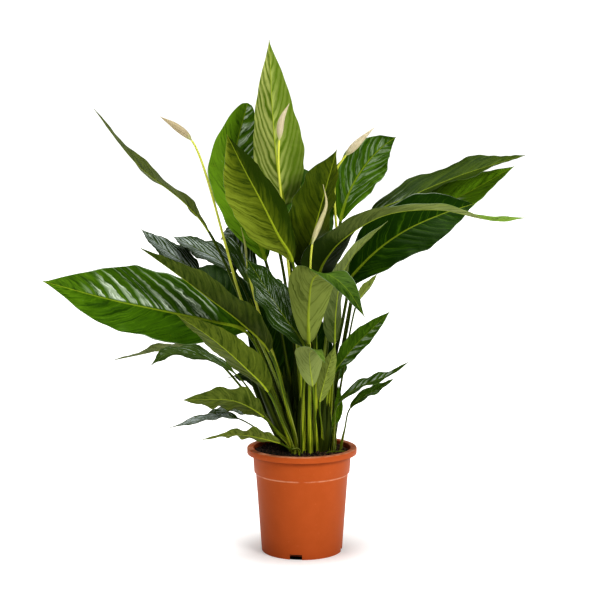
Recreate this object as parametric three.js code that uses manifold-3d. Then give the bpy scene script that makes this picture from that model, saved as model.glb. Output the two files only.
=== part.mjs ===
// A potted peace lily: a ribbed nursery pot, its peat soil, long-stalked leaves and closed blooms.
// Millimetres, +Z up. The origin is the middle of the pot's base, and the front of the plant is -Y.
import * as THREE from "three";
import { mergeVertices } from "three/addons/utils/BufferGeometryUtils.js";
import Module from "manifold-3d";

const wasm = await Module();
wasm.setup();

// Driving dimensions.
const touchGap = 0.3; // between a piece and what it rests on or stands in
const holeGap = 0.35; // round a stem, in its hole in the soil
const holeSink = 0.4; // under the foot of a stem
const sides = 40; // round the pot and the soil

const pot = {
  height: 162,
  rim: 85, // outer radius of the rolled lip
  base: 62.4, // outer radius at the ground
  wall: 1.4,
  stepHeight: 121, // where the wall widens into the upper band
  stepRise: 3,
  stepRadius: 71.5,
  bandRadius: 74.2,
  bandTop: 76.4,
  lipDrop: 9.5, // how far the lip's skirt hangs down
  floor: 4, // the floor is raised off the ground by this much
  pad: 22, // radius of the middle of the floor, which stands on the ground
  drainRadius: 45,
  drainHole: 5, // radius
  drainHoles: 8,
  drainSides: 12,
  notchWidth: 18.8,
  notchHeight: 8,
  notchDepth: 12,
  notches: 4,
  notchTurn: -8.5, // degrees the front notch lies from straight ahead
};

const soil = {
  level: 154,
  lump: 1.6, // height of the unevenness of its top
  rings: 3,
};

// The stems rise from one clump, in rings round its middle.
const clump = {
  x: 12,
  y: 14,
  ring: 9.8, // from one ring to the next
  depth: 22, // how deep the stems stand in the soil
  collar: 10, // how high above the soil they start to bend
  lean: 3.5, // the most that a stem leans out, up to its collar
  kneeOut: 0.44, // how far out and up the middle of a stem's bend lies
  kneeUp: 0.52,
};

const blade = {
  thick: 0.6, // half of the thickness, inside the margin
  edge: 0.42, // half of the thickness, at the margin
  rib: 1.5, // how far the midrib stands out below, at its base
  stations: 12,
  ribFade: 1.4, // how fast the midrib sinks into the blade
  full: 0.8, // the less, the fuller the outline
  taper: 0.9, // the more, the longer the drawn-out tip
  tipWidth: 1.3,
  start: 0.05, // the part of its length over which the stalk widens into the blade
  farPhase: 2.2, // how far the waves of one half lag behind the other's
};

// Half widths across a leaf's stem, at the soil and at the blade.
const stalk = { wide: 4.1, deep: 3.5, topWide: 2.3, topDeep: 2.1, thinning: 0.8, stations: 3 };

// Half of the stalk's sides and of the sheath's sides, since a ring is made in two halves.
const flower = {
  base: 2.4,
  top: 1.5,
  tip: 0.6,
  flat: 0.8, // the sheath's depth over its width
  columns: 3,
  stations: 7,
  sheathColumns: 4,
  sheathStations: 8,
};

const colours = {
  terracotta: 0xb5532a,
  peat: 0x2b1d14,
  leaf: 0x2f6420,
  flowerStalk: 0x9fb23c,
  cream: 0xe6dcb8,
};

// Small helpers.
const vec = (p) => new THREE.Vector3(p[0], p[1], p[2]);
const radians = THREE.MathUtils.degToRad;
const lerp = THREE.MathUtils.lerp;

function paint(colour, roughness) {
  return new THREE.MeshStandardMaterial({ color: colour, roughness, metalness: 0 });
}

function geometryOf(points, faces) {
  const geometry = new THREE.BufferGeometry();
  const numbers = points.flatMap((p) => [p.x, p.y, p.z]);
  geometry.setAttribute("position", new THREE.Float32BufferAttribute(numbers, 3));
  geometry.setIndex(faces.flat());
  geometry.computeVertexNormals();
  return geometry;
}

function solidOf(geometry) {
  const bare = geometry.clone();
  bare.deleteAttribute("normal");
  bare.deleteAttribute("uv");
  const merged = mergeVertices(bare, 1e-4);
  const vertProperties = new Float32Array(merged.attributes.position.array);
  const triVerts = new Uint32Array(merged.index.array);
  return new wasm.Manifold(new wasm.Mesh({ numProp: 3, vertProperties, triVerts }));
}

function geometryFrom(solid) {
  const mesh = solid.getMesh();
  const geometry = new THREE.BufferGeometry();
  geometry.setAttribute("position", new THREE.BufferAttribute(mesh.vertProperties, 3));
  geometry.setIndex(new THREE.BufferAttribute(mesh.triVerts, 1));
  geometry.computeVertexNormals();
  return geometry;
}

// Joins rings of equally many points into one closed solid. A ring turns left about the way
// the rings advance. The far half of each ring is split the other way, so that the two faces
// of a blade are split alike.
function loft(rings) {
  const count = rings[0].length;
  const points = rings.flat();
  const faces = [];
  for (let i = 0; i + 1 < rings.length; i += 1) {
    for (let j = 0; j < count; j += 1) {
      const k = (j + 1) % count;
      const [p, q] = [i * count + j, i * count + k];
      const [r, t] = [p + count, q + count];
      if (j < count / 2) faces.push([p, q, t], [p, t, r]);
      else faces.push([p, q, r], [q, t, r]);
    }
  }
  const middle = (ring) => ring.reduce((sum, p) => sum.add(p), new THREE.Vector3()).divideScalar(count);
  const first = points.push(middle(rings[0])) - 1;
  const last = points.push(middle(rings[rings.length - 1])) - 1;
  const end = (rings.length - 1) * count;
  for (let j = 0; j < count; j += 1) {
    const k = (j + 1) % count;
    faces.push([first, k, j], [last, end + j, end + k]);
  }
  return geometryOf(points, faces);
}

// Pot.
function potProfile() {
  const { wall, floor, height, rim, lipDrop } = pot;
  const stepTop = pot.stepHeight + pot.stepRise;
  const under = height - wall;
  const skirt = height - lipDrop;
  const slope = (pot.stepRadius - pot.base) / pot.stepHeight;
  const outline = [
    [0, 0],
    [pot.pad, 0],
    [pot.pad + floor - wall, floor],
    [pot.base - wall, floor],
    [pot.base - wall, 0],
    [pot.base, 0],
    [pot.stepRadius, pot.stepHeight],
    [pot.bandRadius, stepTop],
    [pot.bandTop, under],
    [rim - wall, under],
    [rim - wall, skirt],
    [rim, skirt],
    [rim, height - wall],
    [rim - wall, height],
    [pot.bandTop, height],
    [pot.bandTop - wall, under],
    [pot.bandRadius - wall, stepTop],
    [pot.stepRadius - wall, pot.stepHeight],
    [pot.base - wall + slope * (floor + wall), floor + wall],
    [pot.pad + floor, floor + wall],
    [pot.pad, wall],
    [0, wall],
  ];
  return outline.map(([r, z]) => new THREE.Vector2(r, z));
}

function makePot() {
  const shell = new THREE.LatheGeometry(potProfile(), sides);
  shell.rotateX(Math.PI / 2);
  let solid = solidOf(shell);
  for (let i = 0; i < pot.drainHoles; i += 1) {
    const hole = new THREE.CylinderGeometry(pot.drainHole, pot.drainHole, 3 * pot.floor, pot.drainSides);
    hole.rotateX(Math.PI / 2);
    hole.translate(pot.drainRadius, 0, pot.floor);
    hole.rotateZ(((i + 0.5) * 2 * Math.PI) / pot.drainHoles);
    solid = solid.subtract(solidOf(hole));
  }
  for (let i = 0; i < pot.notches; i += 1) {
    const notch = new THREE.BoxGeometry(pot.notchWidth, pot.notchDepth, 2 * pot.notchHeight);
    notch.translate(0, -pot.base, 0);
    notch.rotateZ((i * 2 * Math.PI) / pot.notches + radians(pot.notchTurn));
    solid = solid.subtract(solidOf(notch));
  }
  return geometryFrom(solid);
}

// Soil.
// The height of the soil, which is gently uneven.
function soilTop(x, y) {
  const slow = Math.sin(x / 13 + 0.6) * Math.cos(y / 11 - 0.4);
  const quick = Math.sin(x / 5.1 + y / 6.3) * Math.cos(y / 4.7 - x / 9);
  return soil.level + soil.lump * (slow + 0.5 * quick);
}

// The radius of the soil at a height: the pot's inside, less the gap.
function soilRadius(z) {
  const inset = pot.wall + touchGap;
  const stepTop = pot.stepHeight + pot.stepRise;
  if (z <= pot.stepHeight) return lerp(pot.base, pot.stepRadius, z / pot.stepHeight) - inset;
  return lerp(pot.bandRadius, pot.bandTop, (z - stepTop) / (pot.height - stepTop)) - inset;
}

function makeSoil(stems) {
  const bottom = pot.floor + pot.wall + touchGap;
  const stepTop = pot.stepHeight + pot.stepRise;
  const points = [new THREE.Vector3(0, 0, bottom)];
  const circle = (radius, height) => {
    for (let i = 0; i < sides; i += 1) {
      const angle = (i * 2 * Math.PI) / sides;
      const [x, y] = [radius * Math.sin(angle), -radius * Math.cos(angle)];
      points.push(new THREE.Vector3(x, y, height ?? soilTop(x, y)));
    }
  };
  for (const z of [bottom, pot.stepHeight, stepTop]) circle(soilRadius(z), z);
  const brim = soilRadius(soil.level - 2 * soil.lump);
  for (let k = soil.rings; k > 0; k -= 1) circle((brim * k) / soil.rings);
  points.push(new THREE.Vector3(0, 0, soilTop(0, 0)));
  const faces = [];
  const rows = 3 + soil.rings;
  for (let i = 0; i < sides; i += 1) {
    const j = (i + 1) % sides;
    faces.push([0, 1 + j, 1 + i]);
    for (let row = 0; row + 1 < rows; row += 1) {
      const low = 1 + row * sides;
      const high = low + sides;
      faces.push([low + i, low + j, high + j], [low + i, high + j, high + i]);
    }
    const top = 1 + (rows - 1) * sides;
    faces.push([top + i, top + j, points.length - 1]);
  }
  let solid = solidOf(geometryOf(points, faces));
  for (const stem of stems) solid = solid.subtract(solidOf(stem.hole));
  return geometryFrom(solid);
}

// Leaves.
// Where a stem meets the soil: the ring it stands in, and its angle, anticlockwise from +X.
function rootAt([ring, degrees]) {
  const reach = ring * clump.ring;
  const angle = radians(degrees);
  const [x, y] = [reach * Math.cos(angle), reach * Math.sin(angle)];
  return new THREE.Vector3(clump.x + x, clump.y + y, soil.level);
}

// The midline of a stem: up from its root, out along a slow curve, then through the given points.
function stemLine(root, through) {
  const to = through[0].clone().sub(root);
  const lean = new THREE.Vector3(to.x, to.y, 0).multiplyScalar(clump.collar / to.z);
  lean.clampLength(0, clump.lean).multiplyScalar(0.5);
  const foot = new THREE.Vector3(0, 0, -clump.depth).addScaledVector(lean, -clump.depth / clump.collar);
  const collar = new THREE.Vector3(0, 0, clump.collar).add(lean);
  const knee = new THREE.Vector3(to.x * clump.kneeOut, to.y * clump.kneeOut, to.z * clump.kneeUp);
  const local = through.map((p) => p.clone().sub(root));
  return new THREE.CatmullRomCurve3([foot, collar, knee, ...local], false, "centripetal");
}

// The axes across a stem at a place on its midline: side, and the way its upper face looks.
function axesAt(curve, u, face) {
  const along = curve.getTangent(Math.min(u, 0.9999));
  const side = along.clone().cross(face).normalize();
  const up = side.clone().cross(along).normalize();
  return { at: curve.getPoint(u), side, up };
}

// The faces are spread evenly from the blade's base to its tip.
function faceAt(faces, t) {
  const place = THREE.MathUtils.clamp(t, 0, 1) * (faces.length - 1);
  const i = Math.min(Math.floor(place), faces.length - 2);
  if (i < 0) return faces[0].clone();
  return faces[i].clone().lerp(faces[i + 1], place - i);
}

// A round section with as many points as a blade has: over the upper half, then back under.
function roundRing({ at, side, up }, wide, deep, columns) {
  const ring = [];
  for (let i = 0; i < 2 * columns; i += 1) {
    const angle = Math.PI * (1 - (i + 0.5) / columns);
    const point = at.clone().addScaledVector(side, wide * Math.cos(angle));
    ring.push(point.addScaledVector(up, deep * Math.sin(angle)));
  }
  return ring;
}

// Half of a blade's width, at t from its base to its tip.
function halfWidth(leaf, t) {
  const place = Math.sin(Math.PI * t ** (Math.log(0.5) / Math.log(leaf.widest)));
  const power = blade.full + leaf.taper * t ** 8;
  return Math.max((leaf.width / 2) * Math.max(place, 0) ** power, blade.tipWidth);
}

// How far a blade's surface stands off its midline plane, at s from -1 to 1 across it.
function lift(leaf, t, s, half) {
  const fold = Math.abs(s) * half * Math.sin(radians(leaf.fold));
  const phase = s > 0 ? 0 : blade.farPhase;
  const wave = leaf.wave * s * s * Math.sin(Math.PI * t) * Math.sin(2 * Math.PI * leaf.waves * t + phase);
  return fold + wave;
}

function bladeRing({ at, side, up }, leaf, t, columns) {
  const half = halfWidth(leaf, t);
  const rib = blade.rib * leaf.stem * (1 - t) ** blade.ribFade;
  const upper = [];
  const lower = [];
  for (let i = 0; i < columns; i += 1) {
    const s = (2 * i) / (columns - 1) - 1;
    const thick = Math.abs(s) > 0.99 ? blade.edge : blade.thick;
    const out = at.clone().addScaledVector(side, s * half * Math.cos(radians(leaf.fold)));
    const height = lift(leaf, t, s, half);
    upper.push(out.clone().addScaledVector(up, height + thick));
    lower.unshift(out.clone().addScaledVector(up, height - thick - (Math.abs(s) < 0.01 ? rib : 0)));
  }
  return [...upper, ...lower];
}

// The part of a stem that stands in the soil, and the hole round it.
function planted(curve, face, wide, deep, columns) {
  const foot = axesAt(curve, 0, face);
  const collar = axesAt(curve, 1 / (curve.points.length - 1), face);
  const below = { ...foot, at: foot.at.clone().sub(new THREE.Vector3(0, 0, holeSink)) };
  const hole = [below, collar].map((axes) => roundRing(axes, wide + holeGap, deep + holeGap, columns));
  return { rings: [foot, collar].map((axes) => roundRing(axes, wide, deep, columns)), hole: loft(hole) };
}

function makeLeaf(given) {
  const usual = { widest: 0.42, taper: blade.taper, fold: 12, wave: 0, waves: 3, stem: 1, columns: 5 };
  const leaf = { ...usual, ...given };
  const stations = leaf.stations ?? blade.stations;
  const root = rootAt(leaf.spot);
  const curve = stemLine(root, leaf.points.map(vec));
  const faces = leaf.face.map(vec);
  const collarFrom = 1 / (curve.points.length - 1);
  const bladeFrom = 3 * collarFrom;
  const [footWide, footDeep] = [stalk.wide * leaf.stem, stalk.deep * leaf.stem];
  const { rings, hole } = planted(curve, faces[0], footWide, footDeep, leaf.columns);
  for (let i = 1; i <= stalk.stations; i += 1) {
    const along = i / stalk.stations;
    const wide = leaf.stem * lerp(stalk.wide, stalk.topWide, along ** stalk.thinning);
    const deep = leaf.stem * lerp(stalk.deep, stalk.topDeep, along ** stalk.thinning);
    const axes = axesAt(curve, lerp(collarFrom, bladeFrom, along), faces[0]);
    rings.push(roundRing(axes, wide, deep, leaf.columns));
  }
  for (let i = 0; i < stations; i += 1) {
    const t = lerp(blade.start, 1, i / (stations - 1));
    const axes = axesAt(curve, lerp(bladeFrom, 1, t), faceAt(faces, t));
    rings.push(bladeRing(axes, leaf, t, leaf.columns));
  }
  return { name: leaf.name, root, shape: loft(rings), hole: hole.translate(...root.toArray()) };
}

// Each row: its spot in the clump, the midline of its blade from base to tip, the full width,
// and the way its upper face looks, from base to tip.
const leaves = [
  // the tall ones, in the middle
  { name: "leafCrown", spot: [1, 150], width: 87, widest: 0.4, fold: 24, wave: 2,
    points: [[-27, 0, 530], [-38, 4, 596], [-45, 10, 679], [-50, 20, 785]],
    face: [[0.22, 0.97, 0]] },
  { name: "leafFrontHigh", spot: [2, 246], width: 90, widest: 0.5, fold: 26, wave: 2,
    points: [[-14, -51, 450], [-36, -75, 494], [-61, -88, 545], [-83, -101, 587], [-108, -108, 638]],
    face: [[0.05, 0.97, 0.1], [-0.3, 0.9, -0.15], [-0.49, 0.83, -0.28], [-0.45, 0.85, -0.25]] },
  { name: "leafBackHigh", spot: [2, 144], width: 96, widest: 0.5, taper: -0.3, fold: 14, wave: 2,
    points: [[-56, 40, 445], [-87, 62, 523], [-105, 78, 607], [-86, 88, 694]],
    face: [[0.2, -0.95, 0.2]] },
  { name: "leafCentreDark", spot: [1, 290], width: 100, widest: 0.46, fold: 20, wave: 4, waves: 4,
    points: [[2, -17, 434], [18, -25, 495], [34, -31, 555], [52, -28, 618]],
    face: [[-0.72, 0.69, 0]] },
  { name: "leafUpperRight", spot: [2, 45], width: 82, widest: 0.5, fold: 10, wave: 3,
    points: [[60, 55, 506], [72, 66, 547], [86, 74, 575], [105, 80, 602], [126, 82, 624], [148, 78, 640]],
    face: [[-0.3, -0.9, 0.1], [-0.3, -0.75, 0.55]] },
  // to the right, high
  { name: "leafRightHigh", spot: [3, 60], width: 80, fold: 14, wave: 3,
    points: [[105, 45, 512], [169, 58, 546], [239, 64, 576], [301, 58, 597], [347, 48, 611]],
    face: [[-0.2, -0.35, 0.92]] },
  { name: "leafRightBright", spot: [3, 36], width: 96, fold: 10, wave: 2,
    points: [[109, 52, 489], [183, 60, 518], [261, 64, 553], [332, 58, 594]],
    face: [[-0.2, -0.6, 0.8]] },
  { name: "leafRightMid", spot: [2, 295], width: 88, widest: 0.2, fold: 14, wave: 3,
    points: [[24, -17, 424], [43, -30, 464], [70, -48, 492], [125, -80, 523], [199, -105, 530],
      [269, -120, 516], [321, -128, 519]],
    face: [[-0.5, 0.7, 0.5], [-0.2, 0.1, 1], [0, 0.15, 1], [0, -0.5, 0.85]] },
  { name: "leafRightLarge", spot: [3, 336], width: 96, widest: 0.54, fold: 10, wave: 3,
    points: [[59, -3, 396], [100, -4, 452], [152, -8, 493], [207, -8, 519], [262, -4, 537]],
    face: [[-0.3, -0.85, 0.4]] },
  { name: "leafRightInner", spot: [2, 330], width: 50, widest: 0.3, fold: 14, wave: 2,
    points: [[49, -22, 323], [51, -30, 377], [60, -36, 431], [84, -40, 471], [128, -44, 512]],
    face: [[-0.7, 0.5, 0.5]] },
  // in front, bending over
  { name: "leafFrontFold", spot: [3, 271], width: 68, fold: 10, stations: 15,
    points: [[10, -65, 328], [10, -80, 388], [17, -98, 431], [33, -115, 438], [61, -138, 421],
      [89, -150, 379]],
    face: [[0, 1, 0.1], [0.1, 0.6, 0.8], [0.4, -0.5, 0.75], [0.4, -0.8, 0.4]] },
  { name: "leafFrontSmall", spot: [3, 293], width: 42, fold: 8, stem: 0.6,
    points: [[16, -62, 265], [12, -72, 298], [12, -82, 320], [21, -92, 324], [34, -98, 306]],
    face: [[-0.35, 0.95, 0.1], [0.1, 0.3, 0.9], [0.6, -0.6, 0.5]] },
  { name: "leafSideSmall", spot: [3, 314], width: 25, fold: 14, stem: 0.55, columns: 3, stations: 9,
    points: [[27, -45, 239], [38, -50, 286], [50, -48, 326]],
    face: [[0.3, 0.9, 0]] },
  // to the right, low
  { name: "leafLowRightA", spot: [4, 334], width: 26, fold: 16, wave: 2, stem: 0.6, columns: 3, stations: 11,
    points: [[53, -30, 230], [83, -40, 259], [105, -46, 270], [129, -50, 280], [160, -52, 301]],
    face: [[-0.2, -0.45, 0.9]] },
  { name: "leafLowRightB", spot: [5, 352], width: 24, fold: 16, wave: 1.5, stem: 0.5, columns: 3, stations: 9,
    points: [[74, 0, 221], [99, -6, 243], [119, -10, 254], [141, -14, 270]],
    face: [[-0.2, -0.5, 0.85]] },
  { name: "leafRightLow", spot: [4, 2], width: 38, widest: 0.48, fold: 12, wave: 2, stem: 0.7, stations: 10,
    points: [[50, 14, 272], [67, 16, 298], [87, 20, 321], [110, 24, 343], [137, 28, 369]],
    face: [[-0.5, -0.75, 0.4]] },
  { name: "leafRightUnder", spot: [4, 26], width: 24, fold: 14, stem: 0.6, columns: 3, stations: 9,
    points: [[86, 35, 382], [96, 37, 398], [107, 39, 411], [117, 40, 426]],
    face: [[-0.5, 0.6, 0.6]] },
  { name: "leafRightSliver", spot: [4, 348], width: 17, fold: 12, stem: 0.45, columns: 3, stations: 7,
    points: [[46, 4, 189], [56, 5, 210], [58, 7, 232], [57, 10, 256]],
    face: [[-0.6, -0.75, 0.3]] },
  // to the left, from the top down
  { name: "leafLeftLong", spot: [3, 172], width: 52, widest: 0.5, fold: 10, wave: 3,
    points: [[-142, 15, 492], [-178, 20, 536], [-255, 26, 599], [-319, 30, 681]],
    face: [[0.55, 0.3, 0.75]] },
  { name: "leafSilverA", spot: [4, 168], width: 58, fold: 12, wave: 2, stations: 11,
    points: [[-162, 34, 427], [-191, 46, 448], [-221, 58, 468], [-254, 72, 495]],
    face: [[0.1, -0.3, 0.95]] },
  { name: "leafSilverB", spot: [3, 152], width: 66, fold: 12, wave: 2, stations: 11,
    points: [[-103, 34, 428], [-130, 46, 448], [-157, 56, 461], [-179, 62, 472], [-204, 68, 484]],
    face: [[0.1, -0.35, 0.9]] },
  { name: "leafMidCurl", spot: [2, 168], width: 52, fold: 10, wave: 2,
    points: [[-81, 20, 412], [-89, 30, 444], [-100, 40, 473], [-109, 47, 487], [-120, 52, 485], [-128, 55, 479]],
    face: [[0.55, -0.8, 0.2], [0.2, -0.4, 0.9]] },
  { name: "leafMidWavy", spot: [3, 250], width: 62, fold: 12, wave: 5, waves: 4,
    points: [[2, -49, 325], [-27, -59, 370], [-57, -50, 416], [-84, -38, 457]],
    face: [[0.4, -0.75, 0.5]] },
  { name: "leafLeftLarge", spot: [3, 208], width: 116, widest: 0.56, fold: 16, wave: 2,
    points: [[-83, -30, 342], [-130, -60, 362], [-207, -105, 384], [-275, -140, 403], [-362, -178, 432]],
    face: [[0, -0.87, 0.5]] },
  { name: "leafLeftFront", spot: [3, 230], width: 84, fold: 24, wave: 2,
    points: [[-48, -70, 318], [-90, -110, 368], [-131, -140, 404], [-178, -165, 443], [-225, -182, 479]],
    face: [[0.53, 0.39, 0.69]] },
  { name: "leafLeftLow", spot: [5, 238], width: 62, fold: 16, wave: 2, stem: 0.8,
    points: [[-50, -80, 260], [-83, -118, 303], [-127, -152, 348], [-176, -178, 386]],
    face: [[0.4, 0.8, 0.45]] },
  { name: "leafArchFar", spot: [4, 182], width: 48, fold: 12, wave: 3, stem: 0.8,
    points: [[-138, 10, 300], [-171, 9, 314], [-205, 4, 315], [-243, -3, 307], [-289, -10, 298]],
    face: [[0, 0.3, 0.95]] },
  { name: "leafArchNear", spot: [4, 194], width: 46, fold: 12, wave: 3, stem: 0.6, columns: 3, stations: 11,
    points: [[-99, -35, 279], [-135, -50, 303], [-173, -60, 315], [-205, -64, 312], [-226, -66, 297]],
    face: [[0, -0.3, 0.95]] },
  { name: "leafLeftSmall", spot: [4, 231], width: 50, widest: 0.5, fold: 10, wave: 4, waves: 4, stem: 0.65,
    points: [[-57, -66, 220], [-76, -78, 236], [-100, -98, 250], [-130, -120, 256], [-171, -146, 259]],
    face: [[0.1, 0.85, 0.45]] },
  { name: "leafLeftGlossy", spot: [4, 206], width: 24, fold: 14, wave: 2, stem: 0.5, columns: 3, stations: 10,
    points: [[-95, -48, 214], [-123, -54, 220], [-149, -58, 215], [-198, -68, 204]],
    face: [[0, -0.4, 0.9]] },
  { name: "leafLeftSilver", spot: [4, 218], width: 24, fold: 12, wave: 2, stem: 0.5, columns: 3, stations: 9,
    points: [[-59, -28, 212], [-85, -40, 223], [-111, -50, 228], [-138, -58, 225]],
    face: [[0, -0.4, 0.9]] },
  { name: "leafLowest", spot: [5, 250], width: 40, fold: 10, wave: 3, waves: 4, stem: 0.6,
    points: [[-33, -64, 180], [-60, -82, 191], [-83, -98, 199], [-107, -114, 202], [-144, -138, 200]],
    face: [[0.1, 0.6, 0.75]] },
  // behind, out of the photograph's sight
  { name: "leafBackCrown", spot: [1, 70], width: 88, fold: 14, wave: 2, columns: 3, stations: 10,
    points: [[24, 75, 455], [12, 110, 510], [-2, 145, 560], [-14, 175, 600]],
    face: [[0, -0.9, 0.4]] },
  { name: "leafBackTall", spot: [2, 105], width: 84, fold: 12, wave: 2, columns: 3, stations: 10,
    points: [[-38, 85, 470], [-58, 125, 525], [-72, 160, 575], [-80, 185, 620]],
    face: [[0.2, -0.9, 0.4]] },
  { name: "leafBackRight", spot: [4, 50], width: 86, fold: 12, wave: 2, columns: 3, stations: 10,
    points: [[95, 105, 430], [140, 150, 470], [185, 190, 500], [230, 225, 510]],
    face: [[-0.3, -0.5, 0.8]] },
  { name: "leafBackMid", spot: [3, 88], width: 72, widest: 0.36, fold: 12, wave: 3, columns: 3, stations: 10,
    points: [[24, 66, 198], [20, 76, 262], [16, 84, 326], [10, 90, 385]],
    face: [[0, -0.95, 0.3]] },
  { name: "leafBackLeft", spot: [4, 112], width: 90, fold: 12, wave: 3, columns: 3, stations: 10,
    points: [[-45, 125, 350], [-72, 170, 385], [-95, 210, 400], [-118, 250, 388]],
    face: [[0.1, -0.3, 1]] },
  { name: "leafBackWide", spot: [4, 140], width: 80, fold: 12, wave: 3, columns: 3, stations: 10,
    points: [[-75, 70, 330], [-115, 95, 385], [-150, 115, 415], [-188, 135, 428]],
    face: [[0.2, -0.5, 0.8]] },
  { name: "leafBackLowRight", spot: [4, 74], width: 60, fold: 12, wave: 3, stem: 0.8, columns: 3, stations: 10,
    points: [[40, 100, 235], [44, 140, 256], [46, 175, 258], [46, 205, 244]],
    face: [[0, -0.2, 1]] },
  { name: "leafBackLow", spot: [3, 116], width: 84, widest: 0.38, fold: 12, wave: 3, columns: 3, stations: 10,
    points: [[-8, 50, 200], [-34, 59, 268], [-61, 69, 334], [-82, 80, 385]],
    face: [[0.3, -0.9, 0.3]] },
  { name: "leafBackLowLeft", spot: [4, 128], width: 50, fold: 12, wave: 3, stem: 0.8, columns: 3, stations: 10,
    points: [[-50, 70, 232], [-76, 90, 250], [-98, 108, 256], [-122, 125, 250]],
    face: [[0, -0.2, 1]] },
];

// Blooms.
// Each row: its spot, the line of its stalk, and the line of its closed white sheath.
const blooms = [
  { name: "Left", spot: [2, 212], width: 13,
    points: [[-92, -10, 390], [-116, -12, 475], [-141, -14, 568], [-156, -16, 613], [-166, -18, 632]],
    sheath: [[-190, -22, 653], [-212, -24, 667]] },
  { name: "Centre", spot: [1, 230], width: 12,
    points: [[-19, -26, 429], [-30, -31, 535], [-35, -32, 595], [-34, -32, 632]],
    sheath: [[-31, -32, 660], [-19, -30, 686]] },
  { name: "Right", spot: [1, 350], width: 13.5,
    points: [[54, 14, 467], [50, 18, 543], [52, 17, 585], [67, 13, 610]],
    sheath: [[86, 12, 630], [110, 12, 652]] },
  { name: "Inner", spot: [2, 272], width: 9.5,
    points: [[11, -66, 400], [15, -67, 478]],
    sheath: [[20, -66, 494], [28, -64, 513], [36, -62, 537], [31, -60, 566]] },
  { name: "Bud", spot: [2, 190], width: 4.5,
    points: [[-69, 0, 380], [-80, 0, 425], [-84, 0, 448]],
    sheath: [[-87, 0, 475], [-93, 0, 501]] },
];

function makeBloom(row) {
  const root = rootAt(row.spot);
  const curve = stemLine(root, [...row.points, ...row.sheath].map(vec));
  const collarFrom = 1 / (curve.points.length - 1);
  const sheathFrom = (2 + row.points.length) * collarFrom;
  const face = new THREE.Vector3(0, -1, 0);
  const { rings, hole } = planted(curve, face, flower.base, flower.base, flower.columns);
  for (let i = 1; i <= flower.stations; i += 1) {
    const along = i / flower.stations;
    const radius = lerp(flower.base, flower.top, along);
    const axes = axesAt(curve, lerp(collarFrom, sheathFrom, along), face);
    rings.push(roundRing(axes, radius, radius, flower.columns));
  }
  const sheath = [];
  const gap = curve.getTangent(sheathFrom).multiplyScalar(touchGap);
  for (let i = 0; i <= flower.sheathStations; i += 1) {
    const t = i / flower.sheathStations;
    const swell = Math.sin(Math.PI * t ** 0.75) ** 0.9 * (1 - 0.35 * t);
    const wide = Math.max(lerp(flower.top, flower.tip, t), (row.width / 2) * swell);
    const deep = Math.max(wide * flower.flat, flower.tip);
    const axes = axesAt(curve, lerp(sheathFrom, 1, t), face);
    axes.at.add(gap);
    sheath.push(roundRing(axes, wide, deep, flower.sheathColumns));
  }
  return {
    name: row.name,
    root,
    shape: loft(rings),
    sheath: loft(sheath),
    hole: hole.translate(...root.toArray()),
  };
}

// The whole.
const plant = new THREE.Group();

function add(name, shape, material, at) {
  const mesh = new THREE.Mesh(shape, material);
  mesh.name = name;
  if (at) mesh.position.copy(at);
  plant.add(mesh);
}

const grown = leaves.map(makeLeaf);
const flowers = blooms.map(makeBloom);
add("pot", makePot(), paint(colours.terracotta, 0.55));
add("soil", makeSoil([...grown, ...flowers]), paint(colours.peat, 0.95));
for (const { name, shape, root } of grown) add(name, shape, paint(colours.leaf, 0.35), root);
for (const { name, shape, sheath, root } of flowers) {
  add(`stalk${name}`, shape, paint(colours.flowerStalk, 0.5), root);
  add(`bloom${name}`, sheath, paint(colours.cream, 0.5), root);
}

export default plant;
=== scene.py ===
import math

import bmesh
import bpy
import numpy as np
from mathutils import Matrix, Vector


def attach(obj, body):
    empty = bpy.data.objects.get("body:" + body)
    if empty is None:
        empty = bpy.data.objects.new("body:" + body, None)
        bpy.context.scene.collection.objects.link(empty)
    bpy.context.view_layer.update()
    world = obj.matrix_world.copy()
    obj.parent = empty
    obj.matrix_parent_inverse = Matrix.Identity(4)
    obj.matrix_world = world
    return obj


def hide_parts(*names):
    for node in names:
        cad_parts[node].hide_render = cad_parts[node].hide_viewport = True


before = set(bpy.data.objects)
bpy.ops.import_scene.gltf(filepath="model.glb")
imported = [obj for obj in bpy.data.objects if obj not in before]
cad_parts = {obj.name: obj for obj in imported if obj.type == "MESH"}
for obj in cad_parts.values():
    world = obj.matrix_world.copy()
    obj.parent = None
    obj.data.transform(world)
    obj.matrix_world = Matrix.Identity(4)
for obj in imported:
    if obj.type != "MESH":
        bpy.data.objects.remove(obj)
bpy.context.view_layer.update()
mm = 0.001

# the photographed view
shot = {
    "aside": -0.003,
    "distance": 2.0,
    "height": 0.573,
    "drop": 5.24,  # degrees below level
    "lens": 78.6,
}

camera = bpy.data.objects.new("camera", bpy.data.cameras.new("camera"))
camera.location = (shot["aside"], -shot["distance"], shot["height"])
camera.rotation_euler = (math.radians(90 - shot["drop"]), 0, 0)
camera.data.lens = shot["lens"]
bpy.context.scene.collection.objects.link(camera)
bpy.context.scene.camera = camera


# shader maths as expressions
class Value:
    def __init__(self, graph, socket):
        self.graph = graph
        self.socket = socket

    def __add__(self, other):
        return self.graph.maths("ADD", self, other)

    def __sub__(self, other):
        return self.graph.maths("SUBTRACT", self, other)

    def __rsub__(self, other):
        return self.graph.maths("SUBTRACT", other, self)

    def __mul__(self, other):
        return self.graph.maths("MULTIPLY", self, other)

    __radd__ = __add__
    __rmul__ = __mul__


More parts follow.
